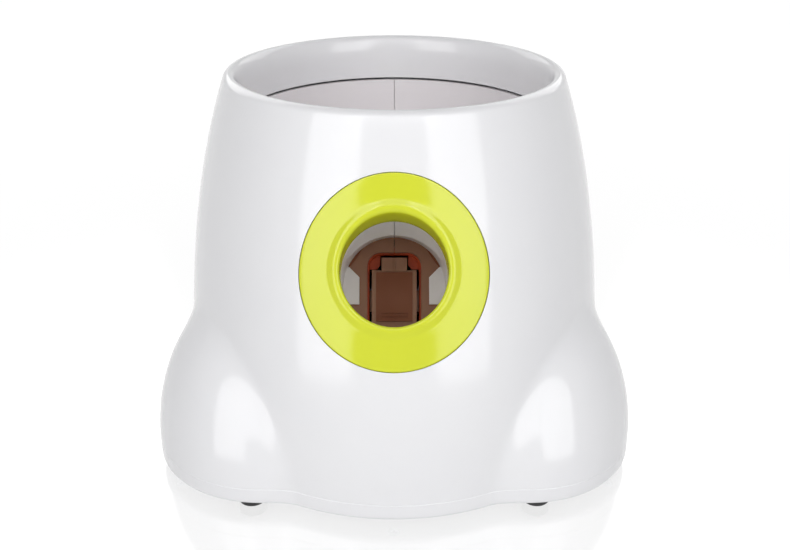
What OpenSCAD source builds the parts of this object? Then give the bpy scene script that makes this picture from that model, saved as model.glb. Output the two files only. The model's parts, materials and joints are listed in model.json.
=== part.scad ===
// Automatic dog ball launcher: balls dropped into the hopper roll down the throat into an inclined
// barrel, and a motor winds back a sprung hammer that knocks them out through the lime outlet ring.
// Millimetres. +Z is up, the outlet faces -Y, and the origin is on the ground under the middle.

/* [Body] */
// Height of the rim above the ground
body_h = 230; // [226:1:240]
// Radius of the round body where it meets the base
body_r = 125.8; // [124:0.2:130]
// How far outside the base the lower flank is drawn towards
flank_swell = 1; // [0:0.2:3]
// Height at which the lower flank is drawn
flank_z = 33; // [28:1:45]
// How far outside the base the shoulder is drawn towards
shoulder_swell = 3.1; // [1:0.1:6]
// Height at which the shoulder is drawn
shoulder_z = 138.6; // [135:0.2:146]
// Outer radius of the body at the rim
rim_r = 97.2; // [96.6:0.1:99]
// Width of the rolled lip round the rim
lip_t = 8.4; // [8:0.1:9]
// Wall of the outer shell
shell_wall = 2.6; // [2.2:0.1:3]

/* [Leg lobes] */
// Distance from the middle of the body to the middle of a lobe
lobe_reach = 87.5; // [85:0.5:92]
// Radius of a lobe at the seam
lobe_r = 67.4; // [65:0.2:70]
// Height of a lobe above the seam
lobe_h = 95.2; // [88:0.2:100]

/* [Hopper] */
// Inner radius of the hopper where the bowl meets the shell
hopper_r = 89.4; // [88.8:0.1:90]
// Wall of the bowl, the throat and the shell's skirt
chute_wall = 2.3; // [2:0.1:2.6]
// Depth below the rim of the seam between the shell's skirt and the bowl
skirt_l = 28.4; // [24:0.2:32]
// Height of the funnel where it drops into the throat
funnel_z = 150; // [147:0.5:153]
// Slope of the funnel floor
funnel_slope = 12; // [10:0.5:14]
// Radius of the throat that lets one ball fall through
throat_r = 27; // [26.5:0.1:28]
// How far the throat stands behind the middle of the resting ball
throat_back = 6; // [4:0.5:6.5]

/* [Outlet and barrel] */
// Upward tilt of the barrel and the outlet
outlet_tilt = 30.5; // [29.5:0.5:31]
// Height of the middle of the mouth
mouth_z = 153.4; // [152:0.2:155]
// Radius of the mouth
mouth_r = 27.5; // [27:0.1:27.8]
// Outer radius of the outlet ring
ring_r = 48.4; // [46:0.1:49]
// Distance of the ring's middle below the middle of the mouth
ring_drop = 2; // [1:0.1:2.5]
// Radius of the rounded lip round the mouth
mouth_lip_r = 32.3; // [31:0.1:34]
// Height of that lip above the ring
mouth_lip_h = 1.2; // [0.8:0.1:1.6]
// Depth of the ring's tube behind the mouth
ring_tube_l = 25.5; // [20:0.5:26]
// Wall of the ring's tube
ring_tube_wall = 2; // [1.6:0.1:2.2]
// Inner radius of the barrel
barrel_r = 30; // [30:0.1:30.6]
// Wall of the barrel
barrel_wall = 2.5; // [2:0.1:3]
// Distance from the mouth back to the breech
breech_l = 95; // [93:0.5:97]
// Radius of the ball that the launcher takes
ball_r = 25; // [24:0.5:25.5]

/* [Base and feet] */
// Height of the base above the ground
base_z = 6; // [4:0.5:8]
// Height of the seam between the base and the shell
seam_z = 16.7; // [16:0.1:18]
// Thickness of the base floor
floor_t = 3.4; // [3:0.1:4]
// Radius of a rubber foot
foot_r = 8; // [6:0.5:10]
// Distance from the middle of the body to a foot
foot_reach = 127; // [123:0.2:129]
// Angle between a foot and the middle line of its lobe
foot_spread = 20; // [16:1:24]

/* [Hammer] */
// Width of the hammer
hammer_w = 26.5; // [24:0.5:27]
// Width of the hammer's tip
tip_w = 15; // [12:0.5:18]
// Height of the wide part above the barrel's axis
hammer_top = 10.4; // [8:0.2:11]
// Height of the tip above the barrel's axis
tip_top = 17.8; // [16:0.2:18]
// Distance of the hammer's pivot below the barrel's axis
pivot_drop = 46; // [45:0.5:47]
// Radius of the hammer's hub
hub_r = 8; // [7:0.2:8.2]
// Radius of the hammer's axle
axle_r = 3; // [2.5:0.1:3.4]
// Thickness of the striker pad
pad_t = 1.6; // [1.2:0.1:1.8]
// Wire diameter of the torsion springs
spring_wire = 1.4; // [1.2:0.1:1.5]

/* [Gears] */
// Module of the sector gear and the winding teeth
sector_module = 1.5; // [1.45:0.05:1.5]
// Teeth on a full turn of the sector gear
sector_teeth = 22; // [22]
// Teeth on a full turn of the winding teeth
winding_teeth = 18; // [18]
// Module of the winding wheel and its pinion
winding_module = 1.25; // [1.2:0.05:1.25]
// Teeth of the winding wheel
winding_wheel_teeth = 36; // [36]
// Module of the reduction wheel and the motor pinion
fast_module = 1; // [0.9:0.05:1]
// Teeth of the reduction wheel
reduction_wheel_teeth = 40; // [40]
// Teeth of each pinion
pinion_teeth = 14; // [14]
// Face width of each gear
gear_face = 4.5; // [4:0.1:4.5]

/* [Motor] */
// Radius of the motor
motor_r = 14; // [12:0.5:14.5]
// Length of the motor
motor_l = 38; // [30:1:40]

/* [Batteries] */
// Radius of a cell
cell_r = 13.1; // [12.5:0.1:13.1]
// Length of a cell with its nub
cell_l = 50; // [48:0.5:50]

/* [Control panel] */
// Height of the middle of the panel
panel_z = 158; // [154:1:160]
// Length of the panel
panel_l = 84; // [78:1:90]
// Height of the panel
panel_h = 26; // [24:1:30]
// Radius of a button
button_r = 6; // [5:0.2:6.6]
// Distance between two buttons
button_pitch = 18; // [17:0.5:19]
// Travel of a button
button_travel = 1; // [0.8:0.1:1.2]

/* [Fits] */
// Gap round a moulded piece in its opening
gap = 0.3; // [0.2:0.05:0.4]
// Gap at the seam between two moulded pieces that meet
seam_gap = 0.15; // [0.1:0.05:0.2]
// Radial running clearance of a gear or bush on its axle
running = 0.05; // [0.03:0.01:0.08]
// Backlash between two gears, on the pitch circle
backlash = 0.25; // [0.2:0.05:0.3]

/* [Hidden] */

$fn = 96;
cut = 1;
far = 400;

// ---- body profile: a cubic curve from the seam to the lip ----
profile_steps = 20;
lobe_steps = 12;
lobe_upright = 3;
flank_r = body_r + flank_swell;
shoulder_r = body_r + shoulder_swell;
lip_z = body_h - lip_t / 2;
skirt_z = body_h - skirt_l;
lip_in_r = rim_r - lip_t;
skirt_r = hopper_r + chute_wall;
skirt_root_z = lip_z - 5.6;
function flank(t) =
    pow(1 - t, 3) * [body_r, seam_z] + 3 * pow(1 - t, 2) * t * [flank_r, flank_z]
    + 3 * (1 - t) * t * t * [shoulder_r, shoulder_z] + pow(t, 3) * [rim_r, lip_z];
function flank_slope(t) =
    pow(1 - t, 2) * ([flank_r, flank_z] - [body_r, seam_z])
    + 2 * (1 - t) * t * ([shoulder_r, shoulder_z] - [flank_r, flank_z])
    + t * t * ([rim_r, lip_z] - [shoulder_r, shoulder_z]);
function unit(v) = v / norm(v);
function skin(t, inset) = let (d = unit(flank_slope(t))) flank(t) - inset * [d[1], -d[0]];
function flank_t(z, low = 0, high = 1, n = 18) =
    n == 0 ? (low + high) / 2
    : let (mid = (low + high) / 2)
      flank(mid)[1] < z ? flank_t(z, mid, high, n - 1) : flank_t(z, low, mid, n - 1);
function body_r_at(z) = flank(flank_t(z))[0];
function skin_depth(x, z, inset) = sqrt(pow(body_r_at(z) - inset, 2) - x * x);
body_max_r = max([for (i = [0:profile_steps]) flank(i / profile_steps)[0]]);
axis_y = -(lobe_reach + lobe_r - body_max_r) / 2;
lobe_angles = [90, 210, 330];
function lobe_surface(z) = lobe_reach + lobe_r * sqrt(1 - pow((z - seam_z) / lobe_h, 2));

// ---- barrel frame: l runs inwards from the mouth along the barrel, b stands up from its axis ----
mouth_y = body_r_at(mouth_z);
function barrel_y(l, b) = -mouth_y + l * cos(outlet_tilt) + b * sin(outlet_tilt);
function barrel_z(l, b) = mouth_z - l * sin(outlet_tilt) + b * cos(outlet_tilt);
function barrel_point(l, b) = [barrel_y(l, b), barrel_z(l, b)];
ball_l = breech_l - pad_t - ball_r;
ball_b = ball_r - barrel_r;
throat_y = barrel_y(ball_l, ball_b) + throat_back;
throat_low = barrel_z(ball_l, 0) + throat_back;
funnel_drop = chute_wall / cos(funnel_slope);
function funnel_at(y) = funnel_z + (abs(y - throat_y) - throat_r) * tan(funnel_slope);

// ---- ring ----
ring_lip_t = 2;
ring_lip_w = 3.2;
ring_back = shell_wall + gap / 2 + ring_lip_t;
ring_tube_r = mouth_r + ring_tube_wall;

// ---- breech ----
breech_r = 39;
flange_t = 6;
plate_t = 3.3;
plate_side_low = -12;
plate_low = -35;
breech_corner_x = 31;
breech_corner_low = -18.5;
plate_screws = [[20.4, 29.1], [35.5, 0]];
slot_w = 32;
slot_top = 21;
slot_corner = 8;
bumper_t = 3;
bumper_in = 2.2;
notch_w = hammer_w + 3.5;
hammer_notch_l = 2.6;

// ---- gear frame ----
frame_x = 20;
frame_t = 3;
frame_out = frame_x + frame_t;
deck_z = 38;
frame_foot_t = 3;
frame_foot_w = 16;
frame_front = -76;
frame_back = 60;
tie_r = 4;
frame_mounts = [[29, -62], [29, 54]];
axle_back = breech_l + plate_t + 0.2;
pivot = barrel_point(axle_back, -pivot_drop);
tie_back = 34.62;
tie_down = 18.77;
ties = [pivot + [tie_back, -tie_down], [54, 50], [50, 92]];
frame_top = 24;
frame_bite = plate_t / 2;
frame_outline = [
    [frame_front, deck_z], [frame_back, deck_z], [frame_back, 100], [20, 112],
    barrel_point(breech_l + plate_t + 4, frame_top), barrel_point(breech_l + frame_bite, frame_top),
    barrel_point(breech_l + frame_bite, plate_low), [frame_front + 2, pivot[1] + 7.8]
];

// ---- hammer ----
bush_wall = 1.5;
rib_t = 2.5;
hammer_front = breech_l - pad_t + 0.2;
rib_back = 106;
face_t = 3;
wing_x = 19;
wing_low = -14;
wing_high = -1;
wing_front = breech_l + plate_t + bumper_t + 0.2;
wing_back = 105;
spool_r = 5.8;
spool_x = 19.6;
swing = 60;

// ---- gears ----
pressure_angle = 20;
addendum = 0.85;
dedendum = 1.2;
layer_fast = 25.5;
layer_wheel = 30.8;
layer_sector = 36;
cover_x = 42;
cover_t = 2.5;
cover_wall = 2;
cover_room = 2.6;
winding_angle = 10;
reduction_angle = 3;
motor_angle = -3;
winding_axle_r = 2.5;
reduction_axle_r = 2;
motor_shaft_r = 1.6;
motor_boss_r = 5;
motor_screw_d = 8;
motor_screw_head_r = 2.6;
motor_cover_r = motor_screw_d + motor_screw_head_r + 0.5 + cover_wall;
sector_r = sector_module * sector_teeth / 2;
winding_r = sector_module * winding_teeth / 2;
wheel_r = winding_module * winding_wheel_teeth / 2;
wheel_pinion_r = winding_module * pinion_teeth / 2;
fast_r = fast_module * reduction_wheel_teeth / 2;
fast_pinion_r = fast_module * pinion_teeth / 2;
function step_to(p, d, a) = p + d * [cos(a), sin(a)];
winding_at = step_to(pivot, sector_r + winding_r, winding_angle);
reduction_at = step_to(winding_at, wheel_r + wheel_pinion_r, reduction_angle);
motor_at = step_to(reduction_at, fast_r + fast_pinion_r, motor_angle);
// turn of a gear that puts a gap where the first gear, turned by turn_a, has its tooth
function mesh_turn(angle, teeth_a, turn_a, teeth_b) =
    angle + 180 - 360 / teeth_b * (0.5 - (angle - turn_a) * teeth_a / 360);
sector_turn = winding_angle;
winding_turn = mesh_turn(winding_angle, sector_teeth, sector_turn, winding_teeth);
reduction_turn = mesh_turn(reduction_angle, winding_wheel_teeth, 0, pinion_teeth);
motor_turn = mesh_turn(motor_angle, reduction_wheel_teeth, 0, pinion_teeth);
ear_r = 3.6;
ear_room = ear_r + 0.7;
sector_hub_r = 5.6;
function tip_r(m, teeth) = m * (teeth / 2 + addendum);
// the place in the valley between two gears that keeps ear_room from both
function valley(a, ra, b, rb, side) =
    let (d = norm(b - a), along = (d * d + ra * ra - rb * rb) / (2 * d), up = sqrt(ra * ra - along * along),
         u = (b - a) / d)
    a + along * u + side * up * [-u[1], u[0]];
function wheel_valley(side) = valley(
    winding_at, tip_r(winding_module, winding_wheel_teeth) + ear_room,
    reduction_at, tip_r(fast_module, reduction_wheel_teeth) + ear_room, side);
cover_ears = [
    step_to(pivot, sector_hub_r + ear_room + 5, 170), wheel_valley(1), wheel_valley(-1),
    step_to(motor_at, motor_cover_r + 2, 0)
];

// ---- screws ----
screw_r = 1.5;
screw_head_r = 3;
screw_head_h = 2;
boss_r = 4;

// ---- hopper lugs ----
lug_drop = 13.6;
lug_z = skirt_z - lug_drop;
lug_t = 4;
lug_w = 12;
lug_boss_h = 16;
lug_in = 4.5;
lug_screw_r = body_r_at(lug_z + lug_boss_h) - lug_in;
lug_l = lug_screw_r + boss_r + 2.6 - hopper_r;
lug_angles = [45, 135, 225, 315];

// ---- batteries ----
cell_pitch = 2 * cell_r + 0.6;
contact_t = 0.5;
spring_l = 6;
battery_x = cell_l + (2 * contact_t + spring_l) / 2;
battery_y = 1.5 * cell_pitch;
battery_wall = 2;
door_t = 2.2;
door_lap = 2.6;
door_screw_x = battery_x + 8;
door_l = door_screw_x + battery_x + 2 * door_lap + 4;
door_screw_boss = 4;
cell_z = base_z + floor_t + cell_r;
nub_l = 1.5;
cell_rest = 0.1;
nub_r = 2.8;

// ---- base fixings ----
post_r = 4.5;
shell_boss_h = 16;
base_counterbore = 2.2;
lobe_fix = lobe_surface(seam_z + shell_boss_h) - shell_wall - 3.4;
body_fix = body_r - shell_wall - 3.7;
base_fixings = concat(
    [for (a = lobe_angles) lobe_fix * [cos(a), sin(a)]],
    [for (a = lobe_angles) body_fix * [cos(a + 60), sin(a + 60)]]);

// ---- panel ----
bezel_proud = 0.8;
bezel_back = shell_wall + gap / 2;
bezel_lip_t = 1.8;
bezel_lip_w = 2.5;
button_x = [for (i = [-1.5:1:1.5]) i * button_pitch];
button_proud = 1.6;
button_flange = 1.2;
button_flange_t = 1.2;
board_t = 1.6;
board_h = 20;
switch_w = 6;
switch_t = 3.5;
lens_r = 1.4;
lens_x = -button_pitch;
bezel_screw_x = 38.4;
bezel_boss_l = 6.7;
board_y = bezel_in(bezel_screw_x) - bezel_boss_l - board_t;
board_l = 84;
panel_in = skin_depth(panel_l / 2 + bezel_lip_w, panel_z, bezel_back + bezel_lip_t) - 2;
panel_out = body_r_at(panel_z) + 10;

// ---- electronics ----
main_board_y = 92;
main_board_w = 76;
main_board_z = [16, 86];
speaker_y = 112;
speaker_r = 18;
speaker_h = 9;
socket_z = 46;
socket_face = 1.4;
socket_r = 6.4;
socket_flange_r = 8;
socket_seat = lobe_surface(socket_z) - 0.3;
socket_pad = 5;
plug_recess_r = 5;
plug_recess_l = 3;
sensor_r = 2.5;

// ======== helpers ========
module on_axis() {
    translate([0, axis_y, 0]) children();
}

// local x across, y up from the barrel's axis, z out of the mouth
module at_mouth() {
    translate([0, -mouth_y, mouth_z]) rotate([90 - outlet_tilt, 0, 0]) children();
}

// a rod along X at a place in the side view
module x_rod(at, r, x0, x1) {
    translate([x0, at[0], at[1]]) rotate([0, 90, 0]) cylinder(r = r, h = x1 - x0);
}

// a side-view drawing thickened along X
module side_slab(x0, x1) {
    translate([x0, 0, 0]) rotate([90, 0, 90]) linear_extrude(x1 - x0) children();
}

// a screw whose head sits on z = 0 and whose shank points down
module screw(length, r = screw_r, head_r = screw_head_r, head_h = screw_head_h) {
    slot_d = head_h * 0.6;
    translate([0, 0, -length]) cylinder(r = r, h = length);
    difference() {
        cylinder(r = head_r, h = head_h);
        for (a = [0, 90])
            rotate(a) translate([-head_r * 0.6, -0.4, head_h - slot_d]) cube([head_r * 1.2, 0.8, slot_d + cut]);
    }
}

// everything on one side of the middle plane, short of it by off
module half_space(side, off = 0) {
    translate([side > 0 ? off : -far - off, -far / 2, -far / 2]) cube([far, far, far]);
}

// ======== body shapes ========
function lip_arc() =
    [for (a = [0:30:180]) [rim_r - lip_t / 2 + lip_t / 2 * cos(a), lip_z + lip_t / 2 * sin(a)]];

module body_form(inset) {
    points = [for (i = [0:profile_steps]) skin(i / profile_steps, inset)];
    rotate_extrude() polygon(concat([[0, points[0][1]]], points, [[0, points[profile_steps][1]]]));
}

module shell_form() {
    flank_points = [for (i = [1:profile_steps - 1]) flank(i / profile_steps)];
    rotate_extrude() polygon(concat(
        [[0, seam_z - cut], [body_r, seam_z - cut]], flank_points, lip_arc(), [[0, lip_z]]));
}

module shell_room() {
    inner = [for (i = [1:profile_steps]) skin(i / profile_steps, shell_wall)];
    wall_points = [for (p = inner) if (p[1] > seam_z && p[1] < skirt_root_z + 1) p];
    rotate_extrude() polygon(concat(
        [[0, seam_z - cut], [body_r - shell_wall, seam_z - cut]], wall_points,
        [[skirt_r, skirt_root_z], [skirt_r, skirt_z], [hopper_r, skirt_z], [lip_in_r, lip_z],
         [lip_in_r, body_h + cut], [0, body_h + cut]]));
}

module lobe_form(inset) {
    arc = [for (i = [1:lobe_steps])
        let (a = 90 * i / lobe_steps)
        [i == lobe_steps ? 0 : (lobe_r - inset) * cos(a), seam_z + (lobe_h - inset) * sin(a)]];
    rotate_extrude() polygon(concat(
        [[0, seam_z - cut], [lobe_r - inset, seam_z - cut], [lobe_r - inset, seam_z + lobe_upright]], arc));
}

module lobes(inset) {
    for (a = lobe_angles) rotate(a) translate([lobe_reach, 0, 0]) lobe_form(inset);
}

// a band of the body's own surface between two insets and two heights
module band(out, in, z0, z1) {
    band_steps = 10;
    t0 = flank_t(z0);
    t1 = flank_t(z1);
    ts = [for (i = [0:band_steps]) t0 + (t1 - t0) * i / band_steps];
    rotate_extrude() polygon(concat(
        [for (t = ts) skin(t, out)], [for (i = [band_steps:-1:0]) skin(ts[i], in)]));
}

module base_outline(inset) {
    circle(r = body_r - inset);
    for (a = lobe_angles) rotate(a) translate([lobe_reach, 0]) circle(r = lobe_r - inset);
}

module panel_outline(grow) {
    straight = (panel_l - panel_h) / 2;
    square([2 * straight, panel_h + 2 * grow], center = true);
    for (s = [-1, 1]) translate([s * straight, 0]) circle(r = panel_h / 2 + grow);
}

module through_panel(y0, y1, grow) {
    translate([0, y1, panel_z]) rotate([90, 0, 0]) linear_extrude(y1 - y0) panel_outline(grow);
}

module socket_rod(r, y0, y1) {
    translate([0, y1, socket_z]) rotate([90, 0, 0]) cylinder(r = r, h = y1 - y0);
}

// ======== shell and base ========
module outer_shell() {
    color("white") on_axis() difference() {
        union() {
            difference() {
                union() {
                    shell_form();
                    lobes(0);
                }
                shell_room();
                lobes(shell_wall);
            }
            intersection() {
                body_form(shell_wall / 2);
                for (a = lug_angles)
                    rotate(a) translate([lug_screw_r, 0, lug_z + lug_t]) cylinder(r = boss_r, h = lug_boss_h);
            }
            for (p = base_fixings)
                translate([p[0], p[1], seam_z - cut]) cylinder(r = post_r, h = shell_boss_h + cut);
            socket_rod(socket_flange_r + 2, socket_seat - socket_pad, socket_seat);
        }
        translate([0, 0, base_z]) cylinder(r = far / 2, h = seam_z - base_z);
        at_mouth() translate([0, -ring_drop, -30]) cylinder(r = ring_r + gap, h = 60);
        through_panel(panel_in, panel_out, gap);
        socket_rod(socket_r + gap / 3, socket_seat - socket_pad - cut, socket_seat + 4);
        socket_rod(socket_flange_r + gap, socket_seat, socket_seat + 4);
        for (p = base_fixings)
            translate([p[0], p[1], seam_z - cut]) cylinder(r = screw_r, h = shell_boss_h - 2);
        for (a = lug_angles)
            rotate(a) translate([lug_screw_r, 0, lug_z]) cylinder(r = screw_r, h = lug_t + 9);
    }
}

module base_tray() {
    roof_z = deck_z - 2.4;
    floor_z = base_z + floor_t;
    color("white") on_axis() difference() {
        union() {
            difference() {
                translate([0, 0, base_z]) linear_extrude(seam_z - base_z) base_outline(0);
                translate([0, 0, floor_z]) linear_extrude(seam_z) base_outline(shell_wall);
            }
            // tongue that centres the shell
            translate([0, 0, floor_z - cut]) linear_extrude(seam_z - floor_z + cut + 3) difference() {
                base_outline(shell_wall + 0.1);
                base_outline(shell_wall + 1.7);
            }
            // battery box
            translate([-battery_x - battery_wall, -battery_y - battery_wall, floor_z - cut])
                cube([2 * (battery_x + battery_wall), 2 * (battery_y + battery_wall), deck_z - floor_z + cut]);
            for (p = base_fixings)
                translate([p[0], p[1], floor_z - cut]) cylinder(r = post_r, h = seam_z - floor_z + cut);
            for (m = frame_mounts, s = [-1, 1])
                translate([s * m[0], m[1], floor_z - cut]) cylinder(r = post_r, h = deck_z - floor_z + cut);
            translate([door_screw_x, 0, floor_z - cut]) cylinder(r = door_screw_boss, h = 8);
            translate([0, speaker_y, floor_z - cut]) cylinder(r = speaker_r + 1.5, h = 5);
            // slotted posts for the main board
            for (s = [-1, 1])
                translate([s * main_board_w / 2 - 4, main_board_y - 4, floor_z - cut]) cube([8, 9.6, 30]);
        }
        translate([-battery_x, -battery_y, base_z + door_t - cut])
            cube([2 * battery_x, 2 * battery_y, roof_z - base_z - door_t + cut]);
        translate([-battery_x - door_lap - gap, -battery_y - door_lap - gap, base_z - cut])
            cube([door_l + 2 * gap, 2 * (battery_y + door_lap + gap), door_t + cut]);
        translate([door_screw_x, 0, base_z]) cylinder(r = screw_r, h = 9);
        for (p = base_fixings) translate([p[0], p[1], base_z - cut]) {
            cylinder(r = screw_r, h = seam_z);
            cylinder(r = screw_head_r + gap, h = base_counterbore + cut);
        }
        // the tongue gives way to the shell's bosses
        for (p = base_fixings)
            translate([p[0], p[1], seam_z]) cylinder(r = post_r + gap, h = 10);
        for (m = frame_mounts, s = [-1, 1])
            translate([s * m[0], m[1], deck_z - 14]) cylinder(r = screw_r, h = 20);
        for (p = feet_at()) translate([p[0], p[1], base_z - cut]) cylinder(r = 2.5, h = floor_t + 2 * cut);
        translate([0, speaker_y, floor_z]) cylinder(r = speaker_r + running, h = 8);
        for (i = [-2:2])
            translate([-1 - (2 - abs(i)) * 3 - 5, speaker_y + 5.5 * i - 1, base_z - cut])
                cube([2 * (6 + (2 - abs(i)) * 3), 2, floor_t + 2 * cut]);
        translate([-main_board_w / 2 - running, main_board_y - running, main_board_z[0]])
            cube([main_board_w + 2 * running, board_t + 2 * running, main_board_z[1] - main_board_z[0]]);
    }
}

function feet_at() =
    [for (a = lobe_angles, s = [-1, 1]) foot_reach * [cos(a + s * foot_spread), sin(a + s * foot_spread)]];

module rubber_feet() {
    color([0.08, 0.08, 0.09]) on_axis() for (p = feet_at()) translate([p[0], p[1], 0]) {
        edge = 1;
        cylinder(r1 = foot_r - edge, r2 = foot_r, h = edge);
        translate([0, 0, edge]) cylinder(r = foot_r, h = base_z - edge);
        translate([0, 0, base_z]) cylinder(r = 2.5, h = floor_t);
    }
}

module base_screws() {
    color("silver") on_axis() for (p = base_fixings)
        translate([p[0], p[1], base_z + base_counterbore]) mirror([0, 0, 1]) screw(18);
}

// ======== outlet ring ========
module ring_reach() {
    translate([-ring_r - 10, -body_r - 10, mouth_z - ring_r - 40])
        cube([2 * ring_r + 20, body_r, 2 * ring_r + 80]);
}

module ring_band(out, in, r, margin, drop = ring_drop) {
    intersection() {
        band(out, in, mouth_z - ring_r - margin - 7, mouth_z + ring_r + margin + 8);
        at_mouth() translate([0, -drop, -45]) cylinder(r = r, h = 90);
        ring_reach();
    }
}

module outlet_ring() {
    lead_l = 6;
    color([0.87, 0.9, 0.24]) on_axis() difference() {
        union() {
            ring_band(0, shell_wall + gap, ring_r, 0);
            ring_band(shell_wall + gap / 2, ring_back, ring_r + ring_lip_w, ring_lip_w);
            ring_band(-mouth_lip_h, shell_wall, mouth_lip_r, 0, 0);
            intersection() {
                body_form(shell_wall);
                at_mouth() translate([0, 0, -ring_tube_l]) cylinder(r = ring_tube_r, h = 60);
            }
        }
        at_mouth() translate([0, 0, -30]) cylinder(r = mouth_r, h = 60);
        at_mouth() translate([0, 0, -ring_tube_l - 0.01])
            cylinder(r1 = ring_tube_r - 0.4, r2 = mouth_r, h = lead_l);
    }
}

// ======== ball path: hopper bowl, throat and barrel in two halves ========
module funnel_form(drop) {
    rise = skirt_z + 20 - funnel_z;
    translate([0, throat_y, funnel_z - drop])
        cylinder(r1 = throat_r, r2 = throat_r + rise / tan(funnel_slope), h = rise);
}

module breech_outline() {
    intersection() {
        circle(r = breech_r);
        translate([-breech_r, plate_side_low]) square([2 * breech_r, 2 * breech_r]);
    }
    translate([-frame_out, plate_low]) square([2 * frame_out, plate_side_low - plate_low + cut]);
}

chute_fixings = [
    barrel_point(30, -barrel_r - barrel_wall - 2.5), barrel_point(72, -barrel_r - barrel_wall - 2.5),
    [20, funnel_at(20) - funnel_drop - 3.5], [70, funnel_at(70) - funnel_drop - 3.5]
];
chute_boss_x = 12;
cheek_in = 20.6;
cheek_low = -10;
cheek_top = 12;
cheek_chamfer = 6;
cheek_t = 2.5;
sensor_seat = barrel_r + 4;

// the pads at both sides of the breech slot, against which the barrel's wall ends
module cheek_outline() {
    for (s = [-1, 1])
        polygon([
            [s * cheek_in, cheek_low], [s * (barrel_r + cut), cheek_low], [s * (barrel_r + cut), cheek_top],
            [s * (cheek_in + cheek_chamfer), cheek_top], [s * cheek_in, cheek_top - cheek_chamfer]
        ]);
}

module chute_form() {
    difference() {
        union() {
            difference() {
                intersection() {
                    translate([0, 0, funnel_z - funnel_drop])
                        cylinder(r = skirt_r, h = skirt_z - seam_gap - funnel_z + funnel_drop);
                    funnel_form(funnel_drop);
                }
                intersection() {
                    translate([0, 0, funnel_z - cut]) cylinder(r = hopper_r, h = skirt_z);
                    funnel_form(0);
                }
            }
            intersection() {
                body_form(ring_back + gap);
                at_mouth() translate([0, 0, -breech_l]) cylinder(r = barrel_r + barrel_wall, h = breech_l + 20);
            }
            translate([0, throat_y, throat_low])
                cylinder(r = throat_r + chute_wall, h = funnel_z - throat_low);
            at_mouth() translate([0, 0, -breech_l]) linear_extrude(flange_t) breech_outline();
            for (p = chute_fixings) x_rod(p, boss_r, -chute_boss_x, chute_boss_x);
            x_rod(barrel_point(ball_l, ball_b), 4.5, -sensor_seat, sensor_seat);
            intersection() {
                body_form(shell_wall + gap);
                for (a = lug_angles)
                    rotate(a) translate([hopper_r + cut, -lug_w / 2, lug_z]) cube([lug_l - cut, lug_w, lug_t]);
            }
        }
        translate([0, throat_y, barrel_z(ball_l, 0)]) cylinder(r = throat_r, h = skirt_z);
        difference() {
            at_mouth() translate([0, 0, -breech_l - cut]) cylinder(r = barrel_r, h = breech_l + 60);
            at_mouth() translate([0, 0, -breech_l - 2 * cut]) linear_extrude(cheek_t + 2 * cut) cheek_outline();
        }
        at_mouth() translate([-notch_w / 2, plate_low - cut, -breech_l - cut])
            cube([notch_w, -plate_low, hammer_notch_l + cut]);
        for (s = plate_screws, m = [-1, 1])
            at_mouth() translate([m * s[0], s[1], -breech_l - cut])
                cylinder(r = screw_r, h = flange_t + 2 * cut);
        for (p = chute_fixings) x_rod(p, screw_r, -chute_boss_x - cut, chute_boss_x - 2);
        x_rod(barrel_point(ball_l, ball_b), sensor_r, -sensor_seat - cut, sensor_seat + cut);
        for (a = lug_angles)
            rotate(a) translate([lug_screw_r, 0, lug_z - cut]) cylinder(r = screw_r, h = lug_t + 2 * cut);
    }
}
module chute_left() {
    color([0.93, 0.92, 0.9]) on_axis() intersection() {
        chute_form();
        half_space(-1, seam_gap);
    }
}

module chute_right() {
    color([0.88, 0.87, 0.84]) on_axis() intersection() {
        chute_form();
        half_space(1, seam_gap);
    }
}

module chute_screws() {
    color("silver") on_axis() for (p = chute_fixings)
        translate([-chute_boss_x, p[0], p[1]]) rotate([0, -90, 0]) screw(2 * chute_boss_x - 2);
}

module hopper_screws() {
    color("silver") on_axis() for (a = lug_angles)
        rotate(a) translate([lug_screw_r, 0, lug_z]) mirror([0, 0, 1]) screw(lug_t + 8);
}

module breech_screws() {
    color("silver") on_axis() for (s = plate_screws, m = [-1, 1])
        at_mouth() translate([m * s[0], s[1], -breech_l - plate_t]) mirror([0, 0, 1]) screw(plate_t + flange_t);
}

// ======== gear frame ========
module slot_outline(grow) {
    half = slot_w / 2 - grow;
    top = slot_top - grow;
    corner = slot_corner - grow;
    translate([-half, plate_low - 20]) square([2 * half, top - corner - plate_low + 20]);
    for (s = [-1, 1]) translate([s * (half - corner), top - corner]) circle(r = corner);
    translate([-half + corner, 0]) square([2 * (half - corner), top]);
}

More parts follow.
